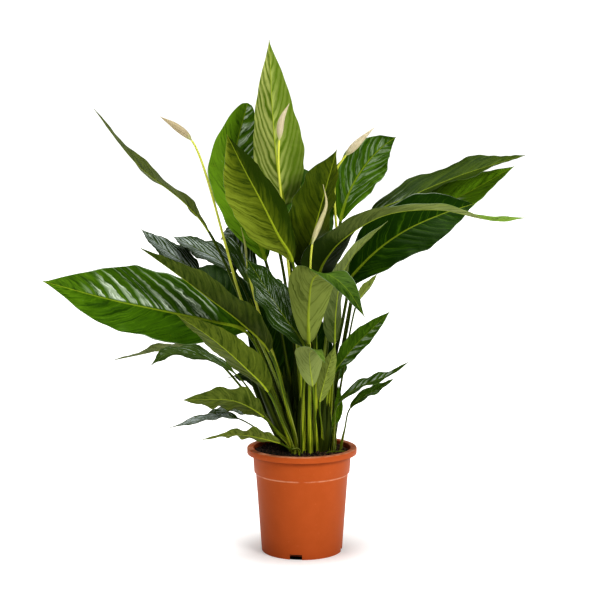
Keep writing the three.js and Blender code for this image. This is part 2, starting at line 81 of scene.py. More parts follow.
class Graph:
    def __init__(self, name):
        self.material = bpy.data.materials.new(name)
        self.material.use_nodes = True
        self.tree = self.material.node_tree
        self.tree.nodes.clear()

    def add(self, kind, settings=None, inputs=None, out=0):
        node = self.tree.nodes.new(kind)
        for key, value in (settings or {}).items():
            setattr(node, key, value)
        for key, value in (inputs or {}).items():
            socket = node.inputs[key]
            if isinstance(value, Value):
                self.tree.links.new(value.socket, socket)
            elif socket.type == "RGBA":
                socket.default_value = (*value, 1)
            else:
                socket.default_value = value
        return Value(self, node.outputs[out])

    def maths(self, operation, *values):
        return self.add("ShaderNodeMath", {"operation": operation}, dict(enumerate(values)))

    def limit(self, value):  # held between 0 and 1
        return self.add("ShaderNodeMath", {"operation": "ADD", "use_clamp": True}, {0: value, 1: 0.0})

    def step(self, value, low, high):  # a soft step from 0 at low to 1 at high
        settings = {"interpolation_type": "SMOOTHSTEP"}
        return self.add("ShaderNodeMapRange", settings, {"Value": value, "From Min": low, "From Max": high})

    def band(self, value, start, full, fade, end):  # up from start to full, down from fade to end
        return self.step(value, start, full) * (1 - self.step(value, fade, end))

    def mix(self, factor, a, b):
        return self.add("ShaderNodeMix", {"data_type": "RGBA"}, {0: factor, 6: a, 7: b}, out=2)

    def attribute(self, name):
        return self.add("ShaderNodeAttribute", {"attribute_name": name}, out="Fac")

    def vector(self, x, y=0.0, z=0.0):
        return self.add("ShaderNodeCombineXYZ", inputs={0: x, 1: y, 2: z})

    def place(self, scale=(1, 1, 1)):
        coords = self.add("ShaderNodeTexCoord", out="Object")
        return self.add("ShaderNodeVectorMath", {"operation": "MULTIPLY"}, {0: coords, 1: scale})

    def placeOn(self, axis):
        return self.add("ShaderNodeSeparateXYZ", inputs={0: self.place()}, out=axis)

    def noise(self, scale, detail=3, where=None, roughness=0.55):
        inputs = {"Vector": where or self.place(), "Scale": scale, "Detail": detail, "Roughness": roughness}
        return self.add("ShaderNodeTexNoise", inputs=inputs, out="Fac")

    def bump(self, height, strength, distance):
        inputs = {"Strength": strength, "Distance": distance, "Height": height}
        return self.add("ShaderNodeBump", inputs=inputs)

    def finish(self, inputs):
        shader = self.add("ShaderNodeBsdfPrincipled", inputs=inputs)
        output = self.tree.nodes.new("ShaderNodeOutputMaterial")
        self.tree.links.new(shader.socket, output.inputs["Surface"])
        return self.material


# Meshes, made in millimetres.
def addPiece(name, points, faces, materials, node=None, indices=None, values=None, sharp=50):
    mesh = bpy.data.meshes.new(name)
    mesh.from_pydata((np.asarray(points).reshape(-1, 3) * mm).tolist(), [], faces)
    mesh.polygons.foreach_set("use_smooth", [True] * len(mesh.polygons))
    for material in materials:
        mesh.materials.append(material)
    if indices is not None:
        mesh.polygons.foreach_set("material_index", indices)
    for key, value in (values or {}).items():
        layer = mesh.attributes.new(key, "FLOAT", "POINT")
        layer.data.foreach_set("value", np.asarray(value, dtype=np.float32).ravel())
    mesh.validate()
    mesh.set_sharp_from_angle(angle=math.radians(sharp))
    piece = bpy.data.objects.new(name, mesh)
    bpy.context.scene.collection.objects.link(piece)
    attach(piece, "root")
    if node:
        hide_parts(node)
    return piece


def unit(vectors):
    return vectors / np.linalg.norm(vectors, axis=-1, keepdims=True)


def smooth(value, low, high):
    x = np.clip((value - low) / (high - low), 0, 1)
    return x * x * (3 - 2 * x)


# The faces of a tube, closed at both ends, through rings of equally many points.
def tubeFaces(rings, count):
    ring = np.arange(count)
    after = (ring + 1) % count
    faces = []
    for i in range(rings - 1):
        low, high = i * count, (i + 1) * count
        faces += np.stack([low + ring, low + after, high + after, high + ring], axis=1).tolist()
    faces.append(ring[::-1].tolist())
    faces.append(((rings - 1) * count + ring).tolist())
    return faces


# Rings round something thin: across its upper face, then back across the one below.
def bothFaces(over, under):
    return np.concatenate([over, under[:, ::-1]], axis=1)


# Centripetal curve through the given points, at each u from 0 to 1.
def curveAt(points, u):
    last = len(points) - 1
    place = np.clip(u, 0, 1) * last
    i = np.minimum(place.astype(int), last - 1)
    w = (place - i)[:, None]
    padded = np.vstack([2 * points[0] - points[1], points, 2 * points[-1] - points[-2]])
    p0, p1, p2, p3 = padded[i], padded[i + 1], padded[i + 2], padded[i + 3]
    pairs = ((p0, p1), (p1, p2), (p2, p3))
    d0, d1, d2 = [np.linalg.norm(b - a, axis=1, keepdims=True) ** 0.5 for a, b in pairs]
    t1 = ((p1 - p0) / d0 - (p2 - p0) / (d0 + d1) + (p2 - p1) / d1) * d1
    t2 = ((p2 - p1) / d1 - (p3 - p1) / (d1 + d2) + (p3 - p2) / d2) * d1
    return p1 + w * t1 + w * w * (3 * (p2 - p1) - 2 * t1 - t2) + w ** 3 * (2 * (p1 - p2) + t1 + t2)


# The midline and the two axes across it, sideways and the way its upper face looks.
def axesAlong(points, u, faces):
    small = 0.002
    along = unit(curveAt(points, u + small) - curveAt(points, u - small))
    side = unit(np.cross(along, faces))
    return curveAt(points, u), side, unit(np.cross(side, along))


# how the stems stand in the peat
clump = {
    "x": 12,
    "y": 14,
    "ring": 9.8,  # from one ring of stems to the next
    "soil": 154,
    "depth": 22,
    "collar": 10,  # height above the peat where a stem starts to bend
    "lean": 3.5,  # twice the most that it leans there
    "kneeOut": 0.44,  # its next bend, as parts of the way to the blade
    "kneeUp": 0.52,
}


# The midline of a stem: up from its root in the soil, then through the given points.
def stemLine(spot, through):
    ring, degrees = spot
    reach = ring * clump["ring"]
    angle = math.radians(degrees)
    place = [clump["x"] + reach * math.cos(angle), clump["y"] + reach * math.sin(angle), clump["soil"]]
    root = np.array(place)
    through = np.array(through, dtype=float)
    to = through[0] - root
    lean = np.array([to[0], to[1], 0]) * clump["collar"] / to[2]
    lean *= 0.5 * min(1, clump["lean"] / max(np.linalg.norm(lean), 1e-6))
    foot = root + [0, 0, -clump["depth"]] - lean * clump["depth"] / clump["collar"]
    collar = root + [0, 0, clump["collar"]] + lean
    knee = root + to * [clump["kneeOut"], clump["kneeOut"], clump["kneeUp"]]
    return np.vstack([foot, collar, knee, through])


# Leaves
leafColours = {
    "dark": (0.008, 0.030, 0.0008),
    "green": (0.044, 0.108, 0.002),
    "bright": (0.150, 0.290, 0.012),
    "rib": (0.40, 0.49, 0.030),
    "underDark": (0.020, 0.040, 0.001),
    "underGreen": (0.098, 0.130, 0.006),
    "underBright": (0.24, 0.30, 0.03),
    # greys for the cool blades: the paler tone of an underside, and a painted reflection of the white
    # surroundings on an upper face
    "greyDark": (0.022, 0.040, 0.006),
    "grey": (0.21, 0.25, 0.095),
    # painted light that shines through the crown's stripes
    "backlitLimeDark": (0.110, 0.185, 0.010),
    "backlitLime": (0.50, 0.56, 0.16),
    # the painted sheen, glints and margin highlight, on most blades and on cool ones
    "silver": (0.66, 0.75, 0.60),
    "cool": (0.60, 0.67, 0.66),
    "tint": (0.6, 0.9, 0.3),  # of what the skin mirrors
}


# From the first colour at 0 through the second to the third at 1.
def threeWay(graph, place, *names):
    low, middle, high = [leafColours[name] for name in names]
    lower = graph.mix(graph.limit(place * 2), low, middle)
    return graph.mix(graph.limit(place * 2 - 1), lower, high)


# What both faces of a blade share: how far across it is, the count of side veins passed on the way
# to the tip, how near a vein it is, and coarse and fine streaks that run along the veins.
def venation(graph):
    reach = graph.maths("ABSOLUTE", graph.attribute("across"))
    phase = graph.attribute("veinPhase") + (graph.noise(45, 2) - 0.5) * 0.7
    ridge = graph.maths("ABSOLUTE", graph.maths("FRACT", phase) - 0.5) * 2
    seed = graph.attribute("seed")
    streaks = graph.noise(1.0, 4, graph.vector(phase * 3, reach * 1.6, seed), 0.65)
    strands = graph.noise(1.0, 2, graph.vector(phase * 8, reach * 3, seed), 0.6)
    return reach, phase, ridge, streaks, strands


# Hair lines along the veins, over a fine grain.
def skinRelief(graph, phase, grain):
    return graph.bump(graph.maths("SINE", phase * 44) * 0.25 + graph.noise(grain, 2), 0.35, 0.0003)


def leafUpper():
    graph = Graph("leafUpper")
    reach, phase, ridge, streaks, strands = venation(graph)
    mottle = graph.noise(90, 3)
    broad = graph.noise(12, 2)
    cool = graph.attribute("cool")
    shade = graph.attribute("tone") + (broad - 0.5) * 0.4 + (streaks - 0.5) * 1.1 + (mottle - 0.5) * 0.15
    colour = threeWay(graph, shade, "dark", "green", "bright")
    olive = threeWay(graph, shade, "underDark", "underGreen", "underBright")
    colour = graph.mix(graph.attribute("olive"), colour, olive)
    # on cool blades, a painted reflection of the white surroundings greys the upper face
    grey = graph.mix(shade, leafColours["greyDark"], leafColours["grey"])
    colour = graph.mix(cool * 0.4, colour, grey)
    line = (1 - graph.step(streaks, 0.36, 0.46)) * 0.45
    colour = graph.mix(line, colour, leafColours["dark"])
    vein = graph.step(ridge, 0.86, 0.98) * (1 - reach) * 0.25
    colour = graph.mix(vein, colour, leafColours["bright"])

    # painted highlights: soft light on the slope behind each vein, and sharper glints
    width = 0.62 - reach * 0.56
    sheen = graph.band(graph.maths("FRACT", phase), 0.08, 0.2, width + 0.02, width + 0.35)
    sheen = sheen * graph.step(streaks + mottle * 0.3 + cool * 0.12, 0.5, 0.72)
    strand = graph.step(strands, 0.5, 0.58)
    sheen = graph.limit(graph.attribute("silver") * sheen) * (0.45 + strand * 0.55)
    amount = graph.attribute("gleam")
    glints = strands + (streaks - 0.5) * 0.8 + (broad - 0.5) * 0.5 + amount * 0.25
    sheen = graph.maths("MAXIMUM", sheen, graph.step(glints, 0.82, 0.92) * graph.limit(amount))
    pale = graph.mix(cool, leafColours["silver"], leafColours["cool"])
    colour = graph.mix(sheen, colour, pale)
    # a painted highlight along parts of the margin
    rim = graph.step(reach, 0.96, 0.99) * graph.step(broad, 0.4, 0.65) * 0.4
    colour = graph.mix(rim, colour, pale)

    rib = 1 - graph.step(graph.attribute("fromRib"), 0.6, 1.3)
    colour = graph.mix(rib * 0.4 * (1 - cool * 0.7), colour, leafColours["rib"])
    return graph.finish({
        "Base Color": colour,
        "Roughness": 0.34 + mottle * 0.16,
        "Specular IOR Level": 0.09,
        "Specular Tint": leafColours["tint"],
        "Normal": skinRelief(graph, phase, 1100),
    })


def leafUnder():
    graph = Graph("leafUnder")
    reach, phase, ridge, streaks, strands = venation(graph)
    mottle = graph.noise(90, 3)
    broad = graph.noise(12, 2)
    tone, backlitLime, cool = [graph.attribute(name) for name in ("tone", "backlitLime", "cool")]
    shade = tone + (broad - 0.5) * 0.35 + (streaks - 0.5) * 1.1 + (mottle - 0.5) * 0.12
    colour = threeWay(graph, shade, "underDark", "underGreen", "underBright")

    # the crown's stripes: painted light that shines through them, dimmer where the tone is low
    stripe = graph.step(ridge + (streaks - 0.5) * 2.2 + (strands - 0.5) * 0.8, 0.1, 1.15)
    backlitLimes = graph.mix(stripe, leafColours["backlitLime"], leafColours["backlitLimeDark"])
    backlitLimes = graph.mix(graph.limit(1 - tone) * 0.8, backlitLimes, leafColours["backlitLimeDark"])
    colour = graph.mix(backlitLime, colour, backlitLimes)

    # the cool undersides turn paler and greyer: their own tone, and a painted reflection of the white
    # surroundings
    grey = graph.mix(shade, leafColours["greyDark"], leafColours["grey"])
    colour = graph.mix(cool * 0.75, colour, grey)
    soft = 1 - cool * 0.6
    line = graph.limit(1 - graph.step(streaks, 0.34, 0.46) + graph.step(strands, 0.58, 0.7) * 0.4)
    line = line * 0.6 * (1 - backlitLime * 0.5) * soft
    colour = graph.mix(line, colour, leafColours["underDark"])
    vein = graph.step(ridge, 0.74, 0.98) * (1 - reach * 0.5) * 0.65 * (1 - backlitLime) * soft
    colour = graph.mix(vein, colour, leafColours["underDark"])
    rib = 1 - graph.step(graph.attribute("fromRib"), 0.7, 1.3)
    rib = rib * (0.95 - graph.attribute("bladeAlong") * 0.6) * (1 - cool * 0.45)
    colour = graph.mix(rib, colour, leafColours["rib"])
    return graph.finish({
        "Base Color": colour,
        "Roughness": 0.45 + mottle * 0.16,
        "Specular IOR Level": 0.1,
        "Specular Tint": leafColours["tint"],
        "Normal": skinRelief(graph, phase, 1000),
    })


# pairs are the dark and the light streaks
stemColours = {
    "low": ((0.085, 0.140, 0.003), (0.70, 0.78, 0.055)),  # near the peat
    "high": ((0.035, 0.075, 0.002), (0.24, 0.32, 0.017)),  # near the blade
    "paintedShade": ((0.002, 0.006, 0.0002), (0.020, 0.034, 0.001)),  # painted shade deep in the clump
    # painted shade down the sides of a stem
    "side": (0.020, 0.036, 0.001),
    "edge": (0.50, 0.54, 0.15),
    "darker": (0.045, 0.085, 0.002),  # over some whole stems
}


def leafStem():
    graph = Graph("leafStem")
    along, across, front = [graph.attribute(name) for name in ("alongStem", "across", "stemLight")]
    seed = graph.attribute("seed")
    streaks = graph.noise(1.0, 3, graph.vector(across * 2.2, along * 3, seed))
    bands = graph.step(streaks, 0.35, 0.65)
    low = graph.mix(bands, *stemColours["low"])
    high = graph.mix(bands, *stemColours["high"])
    colour = graph.mix(graph.step(along, 0.1, 0.75), low, high)
    aside = graph.maths("ABSOLUTE", across)
    # painted shade down the sides of each stem
    colour = graph.mix(graph.step(aside, 0.4, 0.95) * 0.6, colour, stemColours["side"])
    edge = graph.step(aside, 0.93, 0.97) * (1 - graph.step(along, 0.3, 0.55))
    colour = graph.mix(edge * 0.5, colour, stemColours["edge"])
    own = graph.noise(1.0, 1, graph.vector(seed * 3.3))
    colour = graph.mix(graph.step(own, 0.35, 0.65) * 0.35, colour, stemColours["darker"])
    # painted shade on stems deep in the clump, lifting higher up the stem
    paintedShade = graph.mix(streaks, *stemColours["paintedShade"])
    shown = graph.maths("MAXIMUM", front, graph.step(along, 0.35, 0.8) * 0.5)
    return graph.finish({
        "Base Color": graph.mix(shown, paintedShade, colour),
        "Roughness": 0.36 + streaks * 0.15,
        "Specular IOR Level": 0.25,
        "Specular Tint": leafColours["tint"],
        "Normal": graph.bump(streaks, 0.4, 0.0004),
    })


leafMaterials = [leafUpper(), leafUnder(), leafStem()]

leaf = {
    "columns": 33,
    "crowding": 1.6,  # how much the columns crowd towards the midrib
    "stemStations": 26,
    "bladeStations": 110,
    "full": 0.8,  # how full the outline is: less is fuller
    "tip": 0.5,
    "wobble": ((0.035, 17, 1.9), (0.02, 40, 2.3)),  # of the outline
    "thick": 0.4,  # half thicknesses, by the midrib and at the margin
    "edge": 0.2,
    "rib": 1.7,
    "ribWide": 1.8,
    "groove": 0.35,
    "veinPitch": 18,
    "veins": (8, 18),  # fewest and most
    "uneven": ((0.014, 19, 2), (0.008, 43, 3)),  # of the veins
    "quilt": 1.5,
    "quiltedWidth": 96,  # a blade this wide is quilted that much
    "ripples": 11,
    "ripple": 0.5,
    "roll": 1.2,
    "rippledWidth": 80,
    "farPhase": 2.2,  # how far the waves of the left half are out of step
    "blend": 0.07,  # over this part of its length the stem widens into the blade
    "wide": (4.7, 2.3),  # half of the stem's width, low and high
    "deep": (3.5, 2.1),
    "thinning": 0.8,
    "swell": 0.12,  # of the stem, just under the blade
    "frontTone": 0.62,  # painted light on a middle stem: those in front are lighter, those behind darker
    "toneReach": 36,
}

# what a row of the table below says only where it differs
plainLeaf = {
    "widest": 0.42,  # where along the blade
    "taper": 0.35,
    "fold": 12,  # degrees that each half is raised
    "wave": 0,
    "waves": 3,
    "sweep": 1,  # how far forward the side veins run
    "veins": None,
    "stem": 1,
    # how light the blade is: its own tone, and the painted light and shade where it stands
    "tone": 0.5,
    "slope": (0, 0),  # change of tone across the blade and along it, as painted light and shade
    "backlitLime": 0,
    "olive": 0,
    "cool": 0,
    "silver": None,  # the half (-1, 1 or 0 for both), strength, start and end of the painted soft light
    # how strong its painted glints are
    "gleam": 0,
}


# The way the upper face looks at each t, eased between the given ones.
def faceAlong(faces, t):
    faces = np.array(faces, dtype=float)
    if len(faces) == 1:
        return np.repeat(faces, len(t), axis=0)
    knots = np.linspace(0, 1, len(faces))
    shifts = (-0.06, -0.03, 0, 0.03, 0.06)
    blurred = 0
    for shift in shifts:
        place = np.clip(t + shift, 0, 1)
        blurred = blurred + np.stack([np.interp(place, knots, faces[:, k]) for k in range(3)], axis=1)
    return blurred / len(shifts)


# Sines along a blade, each with its strength, pitch and the shift of its right half.
def sway(waves, place, starts, right):
    return sum(strength * np.sin(pitch * place + start + shift * right)
               for (strength, pitch, shift), start in zip(waves, starts))


# Across the stem: the angle round it, how far out it is, and its upper and its under face.
def stemSection(row, along):
    columns = leaf["columns"]
    angle = np.pi * (1 - (np.arange(columns) + 0.5) / columns)[None, :]
    thin = along ** leaf["thinning"]
    winged = 1 - smooth(along, 0.08, 0.62)
    wide = row["stem"] * (leaf["wide"][1] + (leaf["wide"][0] - leaf["wide"][1]) * winged)
    deep = row["stem"] * (leaf["deep"][0] + (leaf["deep"][1] - leaf["deep"][0]) * thin)
    swell = 1 + leaf["swell"] * np.exp(-((along - 0.95) / 0.035) ** 2)
    channel = 0.8 - 0.55 * smooth(along, 0.3, 0.6)
    over = deep * swell * np.sin(angle) * (1 - channel * np.exp(-(np.cos(angle) / 0.5) ** 2))
    return angle, wide * swell * np.cos(angle), over, -deep * swell * np.sin(angle)


# The pillows between the side veins.
def quilting(row, number, phase, t, s):
    amount = 0.8 + 0.35 * np.sin(7.3 * np.floor(phase) + number)
    pillow = amount * np.abs(np.sin(np.pi * phase)) ** 0.7 - 0.65
    inside = smooth(np.abs(s), 0.02, 0.2) * (1 - smooth(np.abs(s), 0.75, 1.0))
    inside = inside * smooth(t, 0.02, 0.15) * (1 - smooth(t, 0.78, 0.97))
    return leaf["quilt"] * row["width"] / leaf["quiltedWidth"] * pillow * inside


# Fine ripples of the margin, and a slow roll of the whole blade.
def rippling(row, count, beat, t, s, right):
    fine = leaf["ripple"] * np.abs(s) ** 4 * np.sin(2 * np.pi * count * t + beat[0] + 2 * right)
    slow = leaf["roll"] * s * s * np.sin(2 * np.pi * 2.3 * t + beat[1] + 1.5 * s)
    inside = (fine + slow) * smooth(t, 0.05, 0.3) * (1 - smooth(t, 0.85, 1))
    return inside * row["width"] / leaf["rippledWidth"]


# Across the blade, at t along it and s from margin to margin: how far out it is, its upper and its
# under face, the phase of the side veins, and how many rib widths away the midrib is.
def bladeSection(row, number, length, t, s):
    random = np.random.default_rng(100 + number)
    beat = random.uniform(0, 2 * np.pi, 6)
    right = (s > 0).astype(float)
    bend = np.log(0.5) / np.log(row["widest"])
    place = np.maximum(np.sin(np.pi * t ** bend), 0)
    half = row["width"] / 2 * place ** (leaf["full"] + row["taper"] * t ** 8)
    wobble = sway(leaf["wobble"], t, beat[4:], right)
    half = np.maximum(half * (1 + wobble * smooth(t, 0.1, 0.3)), leaf["tip"])

    veins = row["veins"] or int(np.clip(length / leaf["veinPitch"], *leaf["veins"]))
    start = t - half / length * row["sweep"] * (0.75 * np.abs(s) + 0.55 * s * s)
    phase = veins * (start + sway(leaf["uneven"], start, beat[2:], right)) + 0.45 * (s < 0)

    fold = math.radians(row["fold"])
    far = np.where(s > 0, 0, leaf["farPhase"])
    wave = row["wave"] * s * s * np.sin(np.pi * t) * np.sin(2 * np.pi * row["waves"] * t + far)
    ripples = leaf["ripples"] + random.uniform(-2, 2)
    lift = np.abs(s) * half * math.sin(fold) + wave + quilting(row, number, phase, t, s)
    lift = lift + rippling(row, ripples, beat, t, s, right)

    away = np.abs(s) * half
    ribWide = leaf["ribWide"] * row["stem"] * (0.5 + row["width"] / 160)
    ribWide = ribWide * (1 - 0.75 * t) * (1 + 0.9 * (1 - t) ** 6)
    hump = np.exp(-(away / ribWide) ** 2)
    ridge = leaf["rib"] * row["stem"] * (1 - t) ** 0.9 * hump
    groove = leaf["groove"] * row["stem"] * (1 - t) * hump
    thick = np.minimum(leaf["thick"] + (leaf["edge"] - leaf["thick"]) * np.abs(s) ** 3, 0.6 * half)
    return s * half * math.cos(fold), lift + thick - groove, lift - thick - ridge, phase, away / ribWide


# Where the painted soft light lies along a blade.
def softLight(row, t, s):
    if not row["silver"]:
        return 0
    which, strength, start, end = row["silver"]
    fade = smooth(np.abs(s), 0.02, 0.08) * (1 - 0.5 * smooth(np.abs(s), 0.6, 0.95))
    light = strength * fade * smooth(t, start, start + 0.1) * (1 - smooth(t, end - 0.1, end))
    return light * (s * which >= 0)


def makeLeaf(row, number):
    row = {**plainLeaf, **row}
    columns = leaf["columns"]
    line = stemLine(row["spot"], row["points"])
    collarFrom = 1 / (len(line) - 1)
    bladeFrom = 3 * collarFrom
    spine = curveAt(line, np.linspace(bladeFrom, 1, 60))
    length = np.linalg.norm(np.diff(spine, axis=0), axis=1).sum()
    stemU = np.linspace(0, bladeFrom, leaf["stemStations"], endpoint=False)
    bladeT = np.linspace(0, 1, leaf["bladeStations"]) ** 1.05
    u = np.concatenate([stemU, bladeFrom + bladeT * (1 - bladeFrom)])
    t = np.clip((u - bladeFrom) / (1 - bladeFrom), 0, 1)[:, None]
    along = np.clip((u - collarFrom) / (bladeFrom - collarFrom), 0, 1)[:, None]
    x = np.linspace(-1, 1, columns)
    s = (np.sign(x) * np.abs(x) ** leaf["crowding"])[None, :]
    angle, stemOut, stemOver, stemUnder = stemSection(row, along)
    bladeOut, bladeOver, bladeUnder, phase, fromRib = bladeSection(row, number, length, t, s)

    # the stem widens into the blade
    blend = smooth(t, 0, leaf["blend"])
    out = stemOut + (bladeOut - stemOut) * np.minimum(1, 3 * blend)
    over = stemOver + (bladeOver - stemOver) * blend
    under = stemUnder + (bladeUnder - stemUnder) * blend
    at, side, up = axesAlong(line, u, faceAlong(row["face"], t[:, 0]))
    points = at[:, None] + side[:, None] * bothFaces(out, out)[..., None]
    points = points + up[:, None] * bothFaces(over, under)[..., None]
    onStem = (np.arange(len(u) - 1) < leaf["stemStations"] + 1)[:, None]
    below = (np.arange(2 * columns) >= columns)[None, :]
    indices = np.where(onStem, 2, np.where(below, 1, 0)).ravel().tolist() + [2, 1]

    def both(value):
        value = np.broadcast_to(value, (len(u), columns))
        return bothFaces(value, value)

    # the tone slopes across and along the blade, painting light and shade on it
    across, lengthwise = row["slope"]
    toBack = line[0][1] - clump["y"]
    values = {
        "veinPhase": both(phase),
        "across": both(np.where(blend < 0.5, np.cos(angle), s)),
        "fromRib": both(fromRib),
        "alongStem": both(along),
        "tone": both(row["tone"] + across * s + lengthwise * (t - 0.5)),
        # painted light on the stem, less the further back it stands
        "stemLight": both(np.clip(leaf["frontTone"] - toBack / leaf["toneReach"], 0.02, 1)),
        "bladeAlong": both(t),
        "seed": both(number * 3.7 + 1.5 * (s > 0)),
        "cool": both(row["cool"]),
        "olive": both(row["olive"]),
        "gleam": both(row["gleam"] * smooth(t, 0.02, 0.15) * (1 - smooth(np.abs(s), 0.85, 1))),
        "backlitLime": both(row["backlitLime"]),
        "silver": both(softLight(row, t, s)),
    }
    name = row["name"][0].upper() + row["name"][1:]
    faces = tubeFaces(len(u), 2 * columns)
    addPiece("foliage" + name, points, faces, leafMaterials, "leaf" + name, indices, values)
